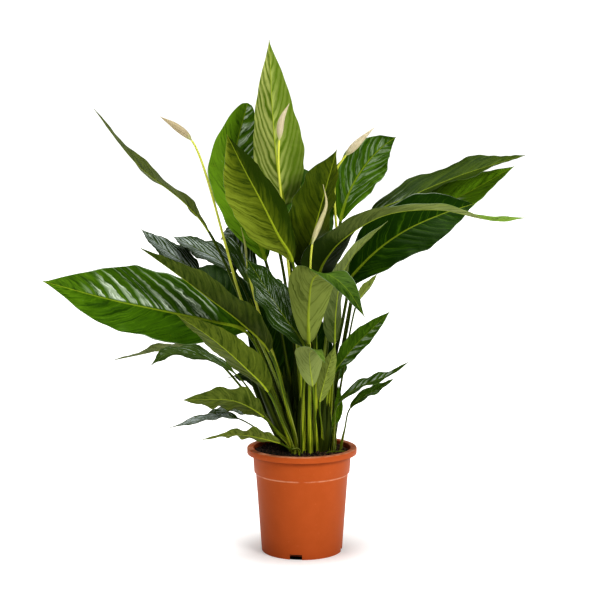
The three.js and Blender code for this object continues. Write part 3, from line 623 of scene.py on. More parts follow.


# Each row: its spot in the clump, the midline of its blade from base to tip, the full width,
# the way its upper face looks, and its tones, with the light and shade painted into them.
leaves = [
    # the tall ones, in the middle
    dict(name="crown", spot=[1, 150], width=87, widest=0.4, fold=24, wave=2,
         points=[[-27, 0, 530], [-38, 4, 596], [-45, 10, 679], [-50, 20, 785]],
         face=[[0.22, 0.97, 0]],
         tone=0.7, slope=(1.25, -0.35), backlitLime=1, sweep=2.3, veins=10),
    dict(name="frontHigh", spot=[2, 246], width=90, widest=0.5, fold=26, wave=2,
         points=[[-14, -51, 450], [-36, -75, 494], [-61, -88, 545], [-83, -101, 587], [-108, -108, 638]],
         face=[[0.05, 0.97, 0.1], [-0.3, 0.9, -0.15], [-0.49, 0.83, -0.28], [-0.45, 0.85, -0.25]],
         tone=0.33, slope=(0.62, -0.5)),
    dict(name="backHigh", spot=[2, 144], width=96, widest=0.5, taper=-0.3, fold=14, wave=2,
         points=[[-56, 40, 445], [-87, 62, 523], [-105, 78, 607], [-86, 88, 694]],
         face=[[0.2, -0.95, 0.2]],
         tone=0.72, slope=(-0.3, 0), silver=(1, 0.9, 0.3, 1.1), gleam=0.3, sweep=1.3),
    dict(name="centreDark", spot=[1, 290], width=100, widest=0.46, fold=20, wave=4, waves=4,
         points=[[2, -17, 434], [18, -25, 495], [34, -31, 555], [52, -28, 618]],
         face=[[-0.72, 0.69, 0]],
         tone=0.3, slope=(-0.15, 0.1)),
    dict(name="upperRight", spot=[2, 45], width=82, widest=0.5, fold=10, wave=3,
         points=[[60, 55, 506], [72, 66, 547], [86, 74, 575], [105, 80, 602], [126, 82, 624],
                 [148, 78, 640]],
         face=[[-0.3, -0.9, 0.1], [-0.3, -0.75, 0.55]],
         tone=0.5, slope=(0.05, -0.2), silver=(0, 0.32, 0.1, 0.95), gleam=0.4, sweep=1.5),
    # to the right, high
    dict(name="rightHigh", spot=[3, 60], width=80, fold=14, wave=3,
         points=[[105, 45, 512], [169, 58, 546], [239, 64, 576], [301, 58, 597], [347, 48, 611]],
         face=[[-0.2, -0.35, 0.92]],
         tone=0.18, slope=(0, 0.3), silver=(-1, 0.4, 0.0, 0.3), gleam=0.1, olive=0.6, sweep=2),
    dict(name="rightBright", spot=[3, 36], width=96, fold=10, wave=2,
         points=[[109, 52, 489], [183, 60, 518], [261, 64, 553], [332, 58, 594]],
         face=[[-0.2, -0.6, 0.8]],
         tone=1.0, silver=(1, 1.4, 0.35, 0.65), sweep=1.6),
    dict(name="rightMid", spot=[2, 295], width=88, widest=0.2, fold=14, wave=3,
         points=[[24, -17, 424], [43, -30, 464], [70, -48, 492], [125, -80, 523], [199, -105, 530],
                 [269, -120, 516], [321, -128, 519]],
         face=[[-0.5, 0.7, 0.5], [-0.2, 0.1, 1], [0, 0.15, 1], [0, -0.5, 0.85]],
         tone=0.5, slope=(0, 2.0), gleam=0.5, cool=0.8),
    dict(name="rightLarge", spot=[3, 336], width=96, widest=0.54, fold=10, wave=3,
         points=[[59, -3, 396], [100, -4, 452], [152, -8, 493], [207, -8, 519], [262, -4, 537]],
         face=[[-0.3, -0.85, 0.4]],
         tone=-0.04, slope=(0.06, -0.1)),
    dict(name="rightInner", spot=[2, 330], width=50, widest=0.3, fold=14, wave=2,
         points=[[49, -22, 323], [51, -30, 377], [60, -36, 431], [84, -40, 471], [128, -44, 512]],
         face=[[-0.7, 0.5, 0.5]],
         tone=0.5, slope=(0, 0.6), cool=1),
    # in front, bending over
    dict(name="frontFold", spot=[3, 271], width=68, fold=10,
         points=[[10, -65, 328], [10, -80, 388], [17, -98, 431], [33, -115, 438], [61, -138, 421],
                 [89, -150, 379]],
         face=[[0, 1, 0.1], [0.1, 0.6, 0.8], [0.4, -0.5, 0.75], [0.4, -0.8, 0.4]],
         tone=0.68, slope=(0, -1.2), cool=0.65),
    dict(name="frontSmall", spot=[3, 293], width=42, fold=8, stem=0.6,
         points=[[16, -62, 265], [12, -72, 298], [12, -82, 320], [21, -92, 324], [34, -98, 306]],
         face=[[-0.35, 0.95, 0.1], [0.1, 0.3, 0.9], [0.6, -0.6, 0.5]],
         tone=1.0, cool=1),
    dict(name="sideSmall", spot=[3, 314], width=25, fold=14, stem=0.55,
         points=[[27, -45, 239], [38, -50, 286], [50, -48, 326]],
         face=[[0.3, 0.9, 0]],
         tone=0.9, cool=0.6),
    # to the right, low
    dict(name="lowRightA", spot=[4, 334], width=26, fold=16, wave=2, stem=0.6,
         points=[[53, -30, 230], [83, -40, 259], [105, -46, 270], [129, -50, 280], [160, -52, 301]],
         face=[[-0.2, -0.45, 0.9]],
         tone=0.4, silver=(-1, 0.7, 0.15, 0.9), gleam=0.6, cool=0.6, sweep=1.9),
    dict(name="lowRightB", spot=[5, 352], width=24, fold=16, wave=1.5, stem=0.5,
         points=[[74, 0, 221], [99, -6, 243], [119, -10, 254], [141, -14, 270]],
         face=[[-0.2, -0.5, 0.85]],
         tone=0.45, silver=(1, 0.4, 0.2, 0.9), gleam=0.4, cool=0.4, sweep=1.9),
    dict(name="rightLow", spot=[4, 2], width=38, widest=0.48, fold=12, wave=2, stem=0.7,
         points=[[50, 14, 272], [67, 16, 298], [87, 20, 321], [110, 24, 343], [137, 28, 369]],
         face=[[-0.5, -0.75, 0.4]],
         tone=0.5, silver=(1, 0.6, 0.1, 0.9), gleam=0.15, cool=0.2),
    dict(name="rightUnder", spot=[4, 26], width=24, fold=14, stem=0.6,
         points=[[86, 35, 382], [96, 37, 398], [107, 39, 411], [117, 40, 426]],
         face=[[-0.5, 0.6, 0.6]],
         tone=0.75, cool=0.5),
    dict(name="rightSliver", spot=[4, 348], width=17, fold=12, stem=0.45,
         points=[[46, 4, 189], [56, 5, 210], [58, 7, 232], [57, 10, 256]],
         face=[[-0.6, -0.75, 0.3]],
         tone=0.75),
    # to the left, from the top down
    dict(name="leftLong", spot=[3, 172], width=52, widest=0.5, fold=10, wave=3,
         points=[[-142, 15, 492], [-178, 20, 536], [-255, 26, 599], [-319, 30, 681]],
         face=[[0.55, 0.3, 0.75]],
         tone=0.45, cool=0.5),
    dict(name="silverA", spot=[4, 168], width=58, fold=12, wave=2,
         points=[[-162, 34, 427], [-191, 46, 448], [-221, 58, 468], [-254, 72, 495]],
         face=[[0.1, -0.3, 0.95]],
         tone=0.15, silver=(0, 1.2, 0.02, 1.0), gleam=1.15, cool=1, sweep=2.6),
    dict(name="silverB", spot=[3, 152], width=66, fold=12, wave=2,
         points=[[-103, 34, 428], [-130, 46, 448], [-157, 56, 461], [-179, 62, 472], [-204, 68, 484]],
         face=[[0.1, -0.35, 0.9]],
         tone=0.2, silver=(0, 1.2, 0.02, 1.0), gleam=1.2, cool=1, sweep=2.6),
    dict(name="midCurl", spot=[2, 168], width=52, fold=10, wave=2,
         points=[[-81, 20, 412], [-89, 30, 444], [-100, 40, 473], [-109, 47, 487], [-120, 52, 485],
                 [-128, 55, 479]],
         face=[[0.55, -0.8, 0.2], [0.2, -0.4, 0.9]],
         tone=0.15, silver=(1, 0.7, 0.1, 0.9), gleam=0.9, cool=1, sweep=1.8),
    dict(name="midWavy", spot=[3, 250], width=62, fold=12, wave=5, waves=4,
         points=[[2, -49, 325], [-27, -59, 370], [-57, -50, 416], [-84, -38, 457]],
         face=[[0.4, -0.75, 0.5]],
         tone=0.1, gleam=0.75, cool=0.7, sweep=2.2, veins=14),
    dict(name="leftLarge", spot=[3, 208], width=116, widest=0.56, fold=16, wave=2,
         points=[[-83, -30, 342], [-130, -60, 362], [-207, -105, 384], [-275, -140, 403], [-362, -178, 432]],
         face=[[0, -0.87, 0.5]],
         tone=0.38, slope=(-0.02, 0.45), silver=(1, 1.0, 0.22, 0.88), gleam=0.05, sweep=1.3, veins=15),
    dict(name="leftFront", spot=[3, 230], width=84, fold=24, wave=2,
         points=[[-48, -70, 318], [-90, -110, 368], [-131, -140, 404], [-178, -165, 443], [-225, -182, 479]],
         face=[[0.53, 0.39, 0.69]],
         tone=0.2, cool=0.4),
    dict(name="leftLow", spot=[5, 238], width=62, fold=16, wave=2, stem=0.8,
         points=[[-50, -80, 260], [-83, -118, 303], [-127, -152, 348], [-176, -178, 386]],
         face=[[0.4, 0.8, 0.45]],
         tone=0.42, cool=0.2),
    dict(name="archFar", spot=[4, 182], width=48, fold=12, wave=3, stem=0.8,
         points=[[-138, 10, 300], [-171, 9, 314], [-205, 4, 315], [-243, -3, 307], [-289, -10, 298]],
         face=[[0, 0.3, 0.95]],
         tone=0.5, cool=0.9),
    dict(name="archNear", spot=[4, 194], width=46, fold=12, wave=3, stem=0.6,
         points=[[-99, -35, 279], [-135, -50, 303], [-173, -60, 315], [-205, -64, 312], [-226, -66, 297]],
         face=[[0, -0.3, 0.95]],
         tone=0.35, gleam=0.6, cool=1, sweep=1.8),
    dict(name="leftSmall", spot=[4, 231], width=50, widest=0.5, fold=10, wave=4, waves=4, stem=0.65,
         points=[[-57, -66, 220], [-76, -78, 236], [-100, -98, 250], [-130, -120, 256], [-171, -146, 259]],
         face=[[0.1, 0.85, 0.45]],
         tone=0.4, cool=0.4),
    dict(name="leftGlossy", spot=[4, 206], width=24, fold=14, wave=2, stem=0.5,
         points=[[-95, -48, 214], [-123, -54, 220], [-149, -58, 215], [-198, -68, 204]],
         face=[[0, -0.4, 0.9]],
         tone=0.4, silver=(0, 0.8, 0.1, 0.9), gleam=1.1, cool=1, sweep=1.6),
    dict(name="leftSilver", spot=[4, 218], width=24, fold=12, wave=2, stem=0.5,
         points=[[-59, -28, 212], [-85, -40, 223], [-111, -50, 228], [-138, -58, 225]],
         face=[[0, -0.4, 0.9]],
         tone=0.4, silver=(0, 0.8, 0.1, 0.9), gleam=1.1, cool=1, sweep=1.6),
    dict(name="lowest", spot=[5, 250], width=40, fold=10, wave=3, waves=4, stem=0.6,
         points=[[-33, -64, 180], [-60, -82, 191], [-83, -98, 199], [-107, -114, 202], [-144, -138, 200]],
         face=[[0.1, 0.6, 0.75]],
         tone=0.5, cool=0.4),
    # behind, out of the photograph's sight
    dict(name="backCrown", spot=[1, 70], width=88, fold=14, wave=2,
         points=[[24, 75, 455], [12, 110, 510], [-2, 145, 560], [-14, 175, 600]],
         face=[[0, -0.9, 0.4]],
         tone=0.3),
    dict(name="backTall", spot=[2, 105], width=84, fold=12, wave=2,
         points=[[-38, 85, 470], [-58, 125, 525], [-72, 160, 575], [-80, 185, 620]],
         face=[[0.2, -0.9, 0.4]],
         tone=0.3),
    dict(name="backRight", spot=[4, 50], width=86, fold=12, wave=2,
         points=[[95, 105, 430], [140, 150, 470], [185, 190, 500], [230, 225, 510]],
         face=[[-0.3, -0.5, 0.8]],
         tone=0.35),
    dict(name="backMid", spot=[3, 88], width=72, widest=0.36, fold=12, wave=3,
         points=[[24, 66, 198], [20, 76, 262], [16, 84, 326], [10, 90, 385]],
         face=[[0, -0.95, 0.3]],
         tone=0),
    dict(name="backLeft", spot=[4, 112], width=90, fold=12, wave=3,
         points=[[-45, 125, 350], [-72, 170, 385], [-95, 210, 400], [-118, 250, 388]],
         face=[[0.1, -0.3, 1]],
         tone=0.25),
    dict(name="backWide", spot=[4, 140], width=80, fold=12, wave=3,
         points=[[-75, 70, 330], [-115, 95, 385], [-150, 115, 415], [-188, 135, 428]],
         face=[[0.2, -0.5, 0.8]],
         tone=-0.1),
    dict(name="backLowRight", spot=[4, 74], width=60, fold=12, wave=3, stem=0.8,
         points=[[40, 100, 235], [44, 140, 256], [46, 175, 258], [46, 205, 244]],
         face=[[0, -0.2, 1]],
         tone=0.2),
    dict(name="backLow", spot=[3, 116], width=84, widest=0.38, fold=12, wave=3,
         points=[[-8, 50, 200], [-34, 59, 268], [-61, 69, 334], [-82, 80, 385]],
         face=[[0.3, -0.9, 0.3]],
         tone=0),
    dict(name="backLowLeft", spot=[4, 128], width=50, fold=12, wave=3, stem=0.8,
         points=[[-50, 70, 232], [-76, 90, 250], [-98, 108, 256], [-122, 125, 250]],
         face=[[0, -0.2, 1]],
         tone=0.2),
]

print("leaves")
for number, row in enumerate(leaves):
    makeLeaf(row, number)


# Young sheaths that stand among the stems and hold them at their foot, painted dark with the shade deep
# in the clump. Each group: how many, then the ranges of their angle, distance from the middle, height and
# lean.
sheaths = {
    "groups": {
        "back": (30, (0, 180), (8, 42), (90, 190), (0.03, 0.16)),
        "front": (14, (195, 345), (6, 30), (60, 110), (0.03, 0.1)),
        "left": (14, (165, 225), (26, 42), (80, 150), (0.25, 0.5)),
    },
    "width": (10, 17),
    "foot": 150,
    "columns": 9,
    "stations": 14,
    "thick": 0.35,
    "hollow": 0.22,  # how far it curves round the stems, over its width
    "belly": 0.12,
    "greenness": 0.3,
    # how lit they are painted: mostly in the painted shade of the clump
    "tone": (0.0, 0.12),
}


def makeSheath(random, angle, reach, height, lean):
    width = random.uniform(*sheaths["width"])
    turn = math.radians(angle)
    out = np.array([math.cos(turn), math.sin(turn), 0])
    foot = np.array([clump["x"], clump["y"], sheaths["foot"]]) + out * reach
    top = foot + out * height * lean + [random.uniform(-6, 6), 0, height]
    t = np.linspace(0, 1, sheaths["stations"])[:, None]
    at = foot + (top - foot) * t + out * reach * sheaths["belly"] * np.sin(np.pi * t)
    along = unit(top - foot)[None, :]
    side = unit(np.cross(along, [[random.uniform(-0.5, 0.5), 1, 0]]))
    up = np.cross(side, along)
    s = np.linspace(-1, 1, sheaths["columns"])[None, :]
    half = width / 2 * np.maximum(1 - t ** 2.6, 0.03) ** 0.8
    lift = half * sheaths["hollow"] * (s * s * 2 - 1)
    points = at[:, None] + side * bothFaces(s * half, s * half)[..., None]
    points = points + up * bothFaces(lift + sheaths["thick"], lift - sheaths["thick"])[..., None]
    values = {
        "alongStem": t * sheaths["greenness"],
        "across": bothFaces(s, s),
        "stemLight": random.uniform(*sheaths["tone"]),
        "seed": random.uniform(0, 50),
    }
    values = {name: np.broadcast_to(value, points.shape[:2]).ravel() for name, value in values.items()}
    return points.reshape(-1, 3), values


def makeSheaths():
    random = np.random.default_rng(21)
    made = []
    for count, *ranges in sheaths["groups"].values():
        for i in range(count):
            made.append(makeSheath(random, *[random.uniform(*limits) for limits in ranges]))
    each = tubeFaces(sheaths["stations"], 2 * sheaths["columns"])
    size = len(made[0][0])
    faces = [[v + i * size for v in face] for i in range(len(made)) for face in each]
    points = np.vstack([points for points, values in made])
    joined = {name: np.concatenate([values[name] for points, values in made]) for name in made[0][1]}
    addPiece("foliageSheaths", points, faces, [leafMaterials[2]], values=joined)


print("sheaths")
makeSheaths()


# Blooms
bloomColours = {
    "stalkLow": ((0.10, 0.17, 0.008), (0.26, 0.34, 0.02)),
    "stalkHigh": ((0.58, 0.64, 0.04), (0.86, 0.86, 0.12)),
    "cream": ((0.46, 0.37, 0.20), (0.76, 0.68, 0.47)),
    "green": (0.42, 0.45, 0.10),
    "tan": (0.36, 0.27, 0.12),
    "base": (0.50, 0.55, 0.18),
}


def stalkSkin():
    graph = Graph("stalkSkin")
    streaks = graph.noise(50, 3, graph.place((8, 8, 0.2)))
    low = graph.mix(streaks, *bloomColours["stalkLow"])
    high = graph.mix(streaks, *bloomColours["stalkHigh"])
    return graph.finish({
        "Base Color": graph.mix(graph.step(graph.attribute("alongStem"), 0.12, 0.5), low, high),
        "Roughness": 0.4 + streaks * 0.15,
        "Normal": graph.bump(streaks, 0.4, 0.0004),
    })


def spatheSkin():
    graph = Graph("spatheSkin")
    ridges = graph.maths("SINE", graph.attribute("across") * 40)
    mottle = graph.noise(120, 3)
    shade = graph.limit(mottle * 0.7 + ridges * 0.12 + 0.15)
    colour = graph.mix(shade, *bloomColours["cream"])
    for name in ("green", "tan"):
        colour = graph.mix(graph.limit(graph.attribute(name)), colour, bloomColours[name])
    low = (1 - graph.step(graph.attribute("alongStem"), 0, 0.22)) * 0.7
    return graph.finish({
        "Base Color": graph.mix(low, colour, bloomColours["base"]),
        "Roughness": 0.5 + mottle * 0.15,
        "Normal": graph.bump(ridges * 0.4 + mottle, 0.4, 0.0004),
    })


bloomMaterials = [stalkSkin(), spatheSkin()]

bloom = {
    "base": 2.4,  # radii of the stalk, low and high
    "top": 1.5,
    "tip": 0.5,
    "flat": 0.8,
    "sides": 20,
    "stations": 40,
    "gap": 0.3,
    "roll": 0.16,
    "rollFrom": 1.2,  # where the rolled edge runs, in radians round the sheath, from base to tip
    "rollOver": 2.2,
    "lobes": 0.04,
}

blooms = [
    dict(name="Left", spot=[2, 212], width=13, tan=0.55,
         points=[[-92, -10, 390], [-116, -12, 475], [-141, -14, 568], [-156, -16, 613], [-166, -18, 632]],
         sheath=[[-190, -22, 653], [-212, -24, 667]]),
    dict(name="Centre", spot=[1, 230], width=12,
         points=[[-19, -26, 429], [-30, -31, 535], [-35, -32, 595], [-34, -32, 632]],
         sheath=[[-31, -32, 660], [-19, -30, 686]]),
    dict(name="Right", spot=[1, 350], width=13.5,
         points=[[54, 14, 467], [50, 18, 543], [52, 17, 585], [67, 13, 610]],
         sheath=[[86, 12, 630], [110, 12, 652]]),
    dict(name="Inner", spot=[2, 272], width=9.5, green=0.3,
         points=[[11, -66, 400], [15, -67, 478]],
         sheath=[[20, -66, 494], [28, -64, 513], [36, -62, 537], [31, -60, 566]]),
    dict(name="Bud", spot=[2, 190], width=4.5, green=0.9,
         points=[[-69, 0, 380], [-80, 0, 425], [-84, 0, 448]],
         sheath=[[-87, 0, 475], [-93, 0, 501]]),
]


# Rings round a line at each u, so far out sideways and to the front.
def ringsRound(line, u, angle, wide, deep):
    at, side, up = axesAlong(line, u, np.repeat([[0.0, -1, 0]], len(u), axis=0))
    aside = side[:, None] * (wide * np.cos(angle))[..., None]
    return at, aside + up[:, None] * (deep * np.sin(angle))[..., None]


def makeBloom(row):
    line = stemLine(row["spot"], row["points"] + row["sheath"])
    collarFrom = 1 / (len(line) - 1)
    sheathFrom = (2 + len(row["points"])) * collarFrom
    angle = np.pi * (1 - (np.arange(bloom["sides"]) + 0.5) * 2 / bloom["sides"])[None, :]
    shape = (bloom["stations"], bloom["sides"])
    faces = tubeFaces(*shape)

    u = np.linspace(0, sheathFrom, bloom["stations"])
    along = np.clip((u - collarFrom) / (sheathFrom - collarFrom), 0, 1)[:, None]
    radius = bloom["base"] + (bloom["top"] - bloom["base"]) * along
    at, ring = ringsRound(line, u, angle, radius, radius)
    values = {"alongStem": np.broadcast_to(along, shape)}
    addPiece("flowerStalk" + row["name"], at[:, None] + ring, faces, [bloomMaterials[0]],
             "stalk" + row["name"], values=values)

    t = np.linspace(0, 1, bloom["stations"])[:, None]
    u = sheathFrom + (1 - sheathFrom) * t[:, 0]
    swell = np.sin(np.pi * t ** 0.75) ** 0.9 * (1 - 0.35 * t)
    wide = np.maximum(bloom["top"] + (bloom["tip"] - bloom["top"]) * t, row["width"] / 2 * swell)
    deep = np.maximum(bloom["flat"] * wide, bloom["tip"])
    turn = angle - bloom["rollFrom"] - bloom["rollOver"] * t
    edge = np.mod(turn, 2 * np.pi) / (2 * np.pi)
    rolled = 1 + bloom["roll"] * np.minimum(1, wide / 3) * (edge - 0.5)
    rolled = rolled + bloom["lobes"] * np.cos(3 * angle + 4 * t)
    at, ring = ringsRound(line, u, angle, wide * rolled, deep * rolled)
    points = at[:, None] + ring + bloom["gap"] * unit(at[1] - at[0])
    values = {"alongStem": np.broadcast_to(t, shape), "across": edge}
    values |= {name: np.full(shape, row.get(name, 0.0)) for name in ("green", "tan")}
    addPiece("spathe" + row["name"], points, faces, [bloomMaterials[1]],
             "bloom" + row["name"], values=values)


print("blooms")
for row in blooms:
    makeBloom(row)


# Pot. Each band of its paint: the heights in metres where it comes in and where it goes out again.
potPaint = {
    "clay": ((0.43, 0.085, 0.015), (0.52, 0.108, 0.025)),
    # pale edges along the step and the lip's top: wear, and a painted highlight
    "wearAndHighlight": (0.70, 0.33, 0.20),
    # a painted shadow under the lip
    "lipShadow": (0.13, 0.022, 0.004),
    "scuff": (0.66, 0.20, 0.08),
    "tint": (1.0, 0.62, 0.4),
    "stepBand": (0.1200, 0.1212, 0.1222, 0.1240),
    "lipEdge": (0.1606, 0.1616),
    # where the painted shadow under the lip lies
    "underLip": (0.1435, 0.1525, 0.1525, 0.1532),
}


def terracotta():
    graph = Graph("terracotta")
    height = graph.placeOn("Z")
    mottle = graph.noise(45, 4)
    colour = graph.mix(mottle, *potPaint["clay"])
    # pale step and lip edges: wear, and a painted highlight
    edges = graph.limit(graph.band(height, *potPaint["stepBand"]) + graph.step(height, *potPaint["lipEdge"]))
    wearAndHighlight = edges * graph.step(graph.noise(60, 4), 0.3, 0.6)
    colour = graph.mix(wearAndHighlight * 0.75, colour, potPaint["wearAndHighlight"])
    # a painted shadow under the lip
    colour = graph.mix(graph.band(height, *potPaint["underLip"]) * 0.5, colour, potPaint["lipShadow"])
    scuffs = graph.step(graph.noise(160, 4), 0.62, 0.75) * 0.15
    return graph.finish({
        "Base Color": graph.mix(scuffs, colour, potPaint["scuff"]),
        "Roughness": 0.36 + mottle * 0.2,
        "Specular IOR Level": 0.14,
        "Specular Tint": potPaint["tint"],
        "Normal": graph.bump(graph.noise(900, 3), 0.2, 0.0003),
    })


pot = {
    "base": 62.4,
    "sides": 128,
    "drainRadius": 45,
    "drainHole": 5,
    "drainHoles": 8,
    "drainDepth": 20,
    "notch": (18.8, 12, 8),  # width, depth and height
    "notches": 4,
    "notchTurn": -8.5,
    "crease": 40,
}

# the outline of the wall, as radii and heights
potOutline = [
    # under the floor, from the middle pad out to the foot
    (0.001, 0), (21, 0), (22, 0.3), (24.2, 3.6), (25, 4), (60, 4), (61, 3.5), (61, 0.4), (61.4, 0), (62, 0),
    # up the wall, over the step and up the band
    (62.5, 0.5), (66.9, 60), (71.3, 119.5), (71.5, 121), (71.9, 121.7), (73.6, 123.3), (74.1, 124.2),
    (75.2, 142), (76.2, 158.5),
    # out under the lip, down inside its skirt, and over the lip
    (76.6, 160), (77.6, 160.6), (82.2, 160.6), (83.2, 160.1), (83.5, 159.2), (83.4, 153), (83.7, 152.5),
    (84.5, 152.5), (84.8, 153), (84.9, 156), (85.0, 160.4), (84.7, 161.2), (84, 161.8), (83, 162), (77, 162),
    # down inside, and over the floor to the middle
    (75.8, 161.7), (75.2, 161), (74.9, 159.6), (72.8, 124.6), (72.2, 123.6), (70.3, 121.8), (70, 120.8),
    (61.6, 7.4), (60.4, 5.6), (26, 5.4), (24.6, 4.6), (22.4, 1.7), (21, 1.4), (0.001, 1.4),
]


def lathe(outline, sides):
    angle = np.linspace(0, 2 * np.pi, sides, endpoint=False)
    rings = [[r * np.sin(angle), -r * np.cos(angle), np.full(sides, z)] for r, z in outline]
    return np.array(rings).transpose(0, 2, 1).reshape(-1, 3)


# Drain holes in the floor and notches in the foot, as one cutter.
def potCuts():
    mesh = bmesh.new()
    radius = pot["drainHole"] * mm
    for i in range(pot["drainHoles"]):
        angle = (i + 0.5) * 2 * math.pi / pot["drainHoles"]
        place = Vector((math.cos(angle), math.sin(angle), 0)) * pot["drainRadius"] * mm
        bmesh.ops.create_cone(mesh, cap_ends=True, segments=32, radius1=radius, radius2=radius,
                              depth=pot["drainDepth"] * mm, matrix=Matrix.Translation(place))
    width, depth, height = pot["notch"]
    for i in range(pot["notches"]):
        turn = Matrix.Rotation(i * 2 * math.pi / pot["notches"] + math.radians(pot["notchTurn"]), 4, "Z")
        shift = Matrix.Translation((0, -pot["base"] * mm, 0))
        stretch = Matrix.Diagonal((width * mm, depth * mm, 2 * height * mm, 1))
        bmesh.ops.create_cube(mesh, size=1, matrix=turn @ shift @ stretch)
    cutter = bpy.data.objects.new("potCuts", bpy.data.meshes.new("potCuts"))
    mesh.to_mesh(cutter.data)
    mesh.free()
    bpy.context.scene.collection.objects.link(cutter)
    return cutter


def makePot():
    points = lathe(potOutline, pot["sides"])
    faces = tubeFaces(len(potOutline), pot["sides"])
    shell = addPiece("potShell", points, faces, [terracotta()], "pot")
    cutter = potCuts()
    cut = shell.modifiers.new("cut", "BOOLEAN")
    cut.operation = "DIFFERENCE"
    cut.object = cutter
    cut.solver = "EXACT"
    graph = bpy.context.evaluated_depsgraph_get()
    made = bpy.data.meshes.new_from_object(shell.evaluated_get(graph))
    shell.modifiers.clear()
    shell.data = made
    made.set_sharp_from_angle(angle=math.radians(pot["crease"]))
    bpy.data.objects.remove(cutter)


print("pot")
makePot()


# Soil
soilColours = {
    "shade": (0.002, 0.001, 0.0005),
    "peat": ((0.080, 0.038, 0.016), (0.24, 0.13, 0.060)),  # darker at the left, in painted shade, and lighter at the right
    "fibre": ((0.035, 0.018, 0.009), (0.14, 0.08, 0.045)),
}


def peatSkin():
    graph = Graph("peatSkin")
    lumps = graph.noise(250, 5, roughness=0.7)
    fine = graph.noise(900, 4, roughness=0.7)
    # painted shade over the left of the peat
    brown = graph.mix(graph.step(graph.placeOn("X"), 0.0, 0.05), *soilColours["peat"])
    return graph.finish({
        "Base Color": graph.mix(graph.step(lumps, 0.4, 0.7), soilColours["shade"], brown),
        "Roughness": 0.85 + fine * 0.1,
        "Normal": graph.bump(lumps + fine * 0.6, 0.9, 0.0015),
    })


def fibreSkin():
    graph = Graph("fibreSkin")
    mottle = graph.noise(200, 3)
    return graph.finish({
        "Base Color": graph.mix(mottle, *soilColours["fibre"]),
        "Roughness": 0.8 + mottle * 0.1,
    })


soil = {
    "level": 154,
    "lump": 1.6,
    "grain": 0.25,
    "brim": 74.2,
    "sides": 160,
    "rings": 60,
    "spread": 73,  # how far out crumbs and fibres lie
    "crumbs": 2200,
    "smallest": 0.6,
    "largest": 3.2,
    "squeeze": (0.6, 1.3),
    "fibres": 150,
    "joints": 5,
    "stride": (0.8, 2.2),
    "thick": (0.15, 0.4),
    "bend": 0.5,
    "over": 0.8,  # how high a fibre lies, and how far it goes up and down
    "bob": 0.5,
}

# the body of the peat under its top, as radii and heights
soilSide = [(0.001, 5.7), (60, 5.7), (69.5, 121), (72.4, 124), (soil["brim"], 149)]


def soilTop(x, y):
    slow = np.sin(x / 13 + 0.6) * np.cos(y / 11 - 0.4)
    quick = np.sin(x / 5.1 + y / 6.3) * np.cos(y / 4.7 - x / 9)
    grain = np.sin(x * 1.1 + 2 * np.sin(y * 0.7)) * np.sin(y * 1.3 + 2 * np.sin(x * 0.8))
    return soil["level"] + soil["lump"] * (slow + 0.5 * quick + 0.3 * grain)


def makePeat(random, skin):
    rings = [lathe(soilSide, soil["sides"])]
    angle = np.linspace(0, 2 * np.pi, soil["sides"], endpoint=False)
    for k in range(soil["rings"]):
        radius = soil["brim"] * (1 - (k / soil["rings"]) ** 1.02) * 0.998
        x, y = radius * np.sin(angle), -radius * np.cos(angle)
        z = soilTop(x, y) + random.uniform(-soil["grain"], soil["grain"], len(angle))
        rings.append(np.stack([x, y, z], axis=1))
    faces = tubeFaces(len(soilSide) + soil["rings"], soil["sides"])
    addPiece("peatBody", np.vstack(rings), faces, [skin], "soil", sharp=80)


def makeCrumbs(random, skin):
    ball = bmesh.new()
    bmesh.ops.create_icosphere(ball, subdivisions=1, radius=1)
    shape = np.array([v.co[:] for v in ball.verts])
    sides = np.array([[v.index for v in f.verts] for f in ball.faces])
    ball.free()
    squeeze = soil["squeeze"]
    crumbs, faces = [], []
    for i in range(soil["crumbs"]):
        radius = soil["spread"] * math.sqrt(random.uniform(0, 1))
        turn = random.uniform(0, 2 * math.pi)
        x, y = radius * math.cos(turn), radius * math.sin(turn)
        size = soil["smallest"] + (soil["largest"] - soil["smallest"]) * random.uniform(0, 1) ** 3
        lump = shape * random.uniform(*squeeze, (len(shape), 1)) * random.uniform(*squeeze, 3)
        crumbs.append(lump * size + [x, y, soilTop(x, y) + 0.35 * size])
        faces += (sides + i * len(shape)).tolist()
    addPiece("peatCrumbs", np.vstack(crumbs), faces, [skin])


# Four points round a fibre that heads the given way.
def fibreRing(x, y, z, head, thick):
    ring = []
    for around in (0, math.pi / 2, math.pi, 3 * math.pi / 2):
        out = np.array([-math.sin(head), math.cos(head), 0]) * math.cos(around) * thick
        ring.append(np.array([x, y, z + thick * math.sin(around)]) + out)
    return ring


def makeFibres(random, skin):
    strands, faces = [], []
    each = tubeFaces(soil["joints"], 4)
    for i in range(soil["fibres"]):
        radius = (soil["spread"] - 1) * math.sqrt(random.uniform(0, 1))
        turn, head = random.uniform(0, 2 * math.pi, 2)
        at = np.array([radius * math.cos(turn), radius * math.sin(turn)])
        stride = random.uniform(*soil["stride"])
        thick = random.uniform(*soil["thick"])
        faces += [[v + len(strands) for v in face] for face in each]
        for k in range(soil["joints"]):
            x, y = at
            reach = math.hypot(x, y)
            if reach > soil["spread"]:
                x, y = x * soil["spread"] / reach, y * soil["spread"] / reach
            z = soilTop(x, y) + soil["over"] + soil["bob"] * math.sin(k + i)
            strands += fibreRing(x, y, z, head, thick)
            at = at + stride * np.array([math.cos(head), math.sin(head)])
            head += random.uniform(-soil["bend"], soil["bend"])
    addPiece("peatFibres", np.array(strands), faces, [skin])


# a scrap of leaf that lies on the peat
scrap = {
    "ends": ((35, -24), (70, -10)),
    "width": 11,
    "tip": 0.04,
    "over": 1.2,
    "arch": 3,
    "flatter": 0.4,  # how much lower the arch is at the sides
    "thick": 0.4,
    "columns": 9,
    "stations": 16,
    "greenness": 0.7,
    # how lit it is painted
    "tone": 0.8,
    "seed": 2.0,
}


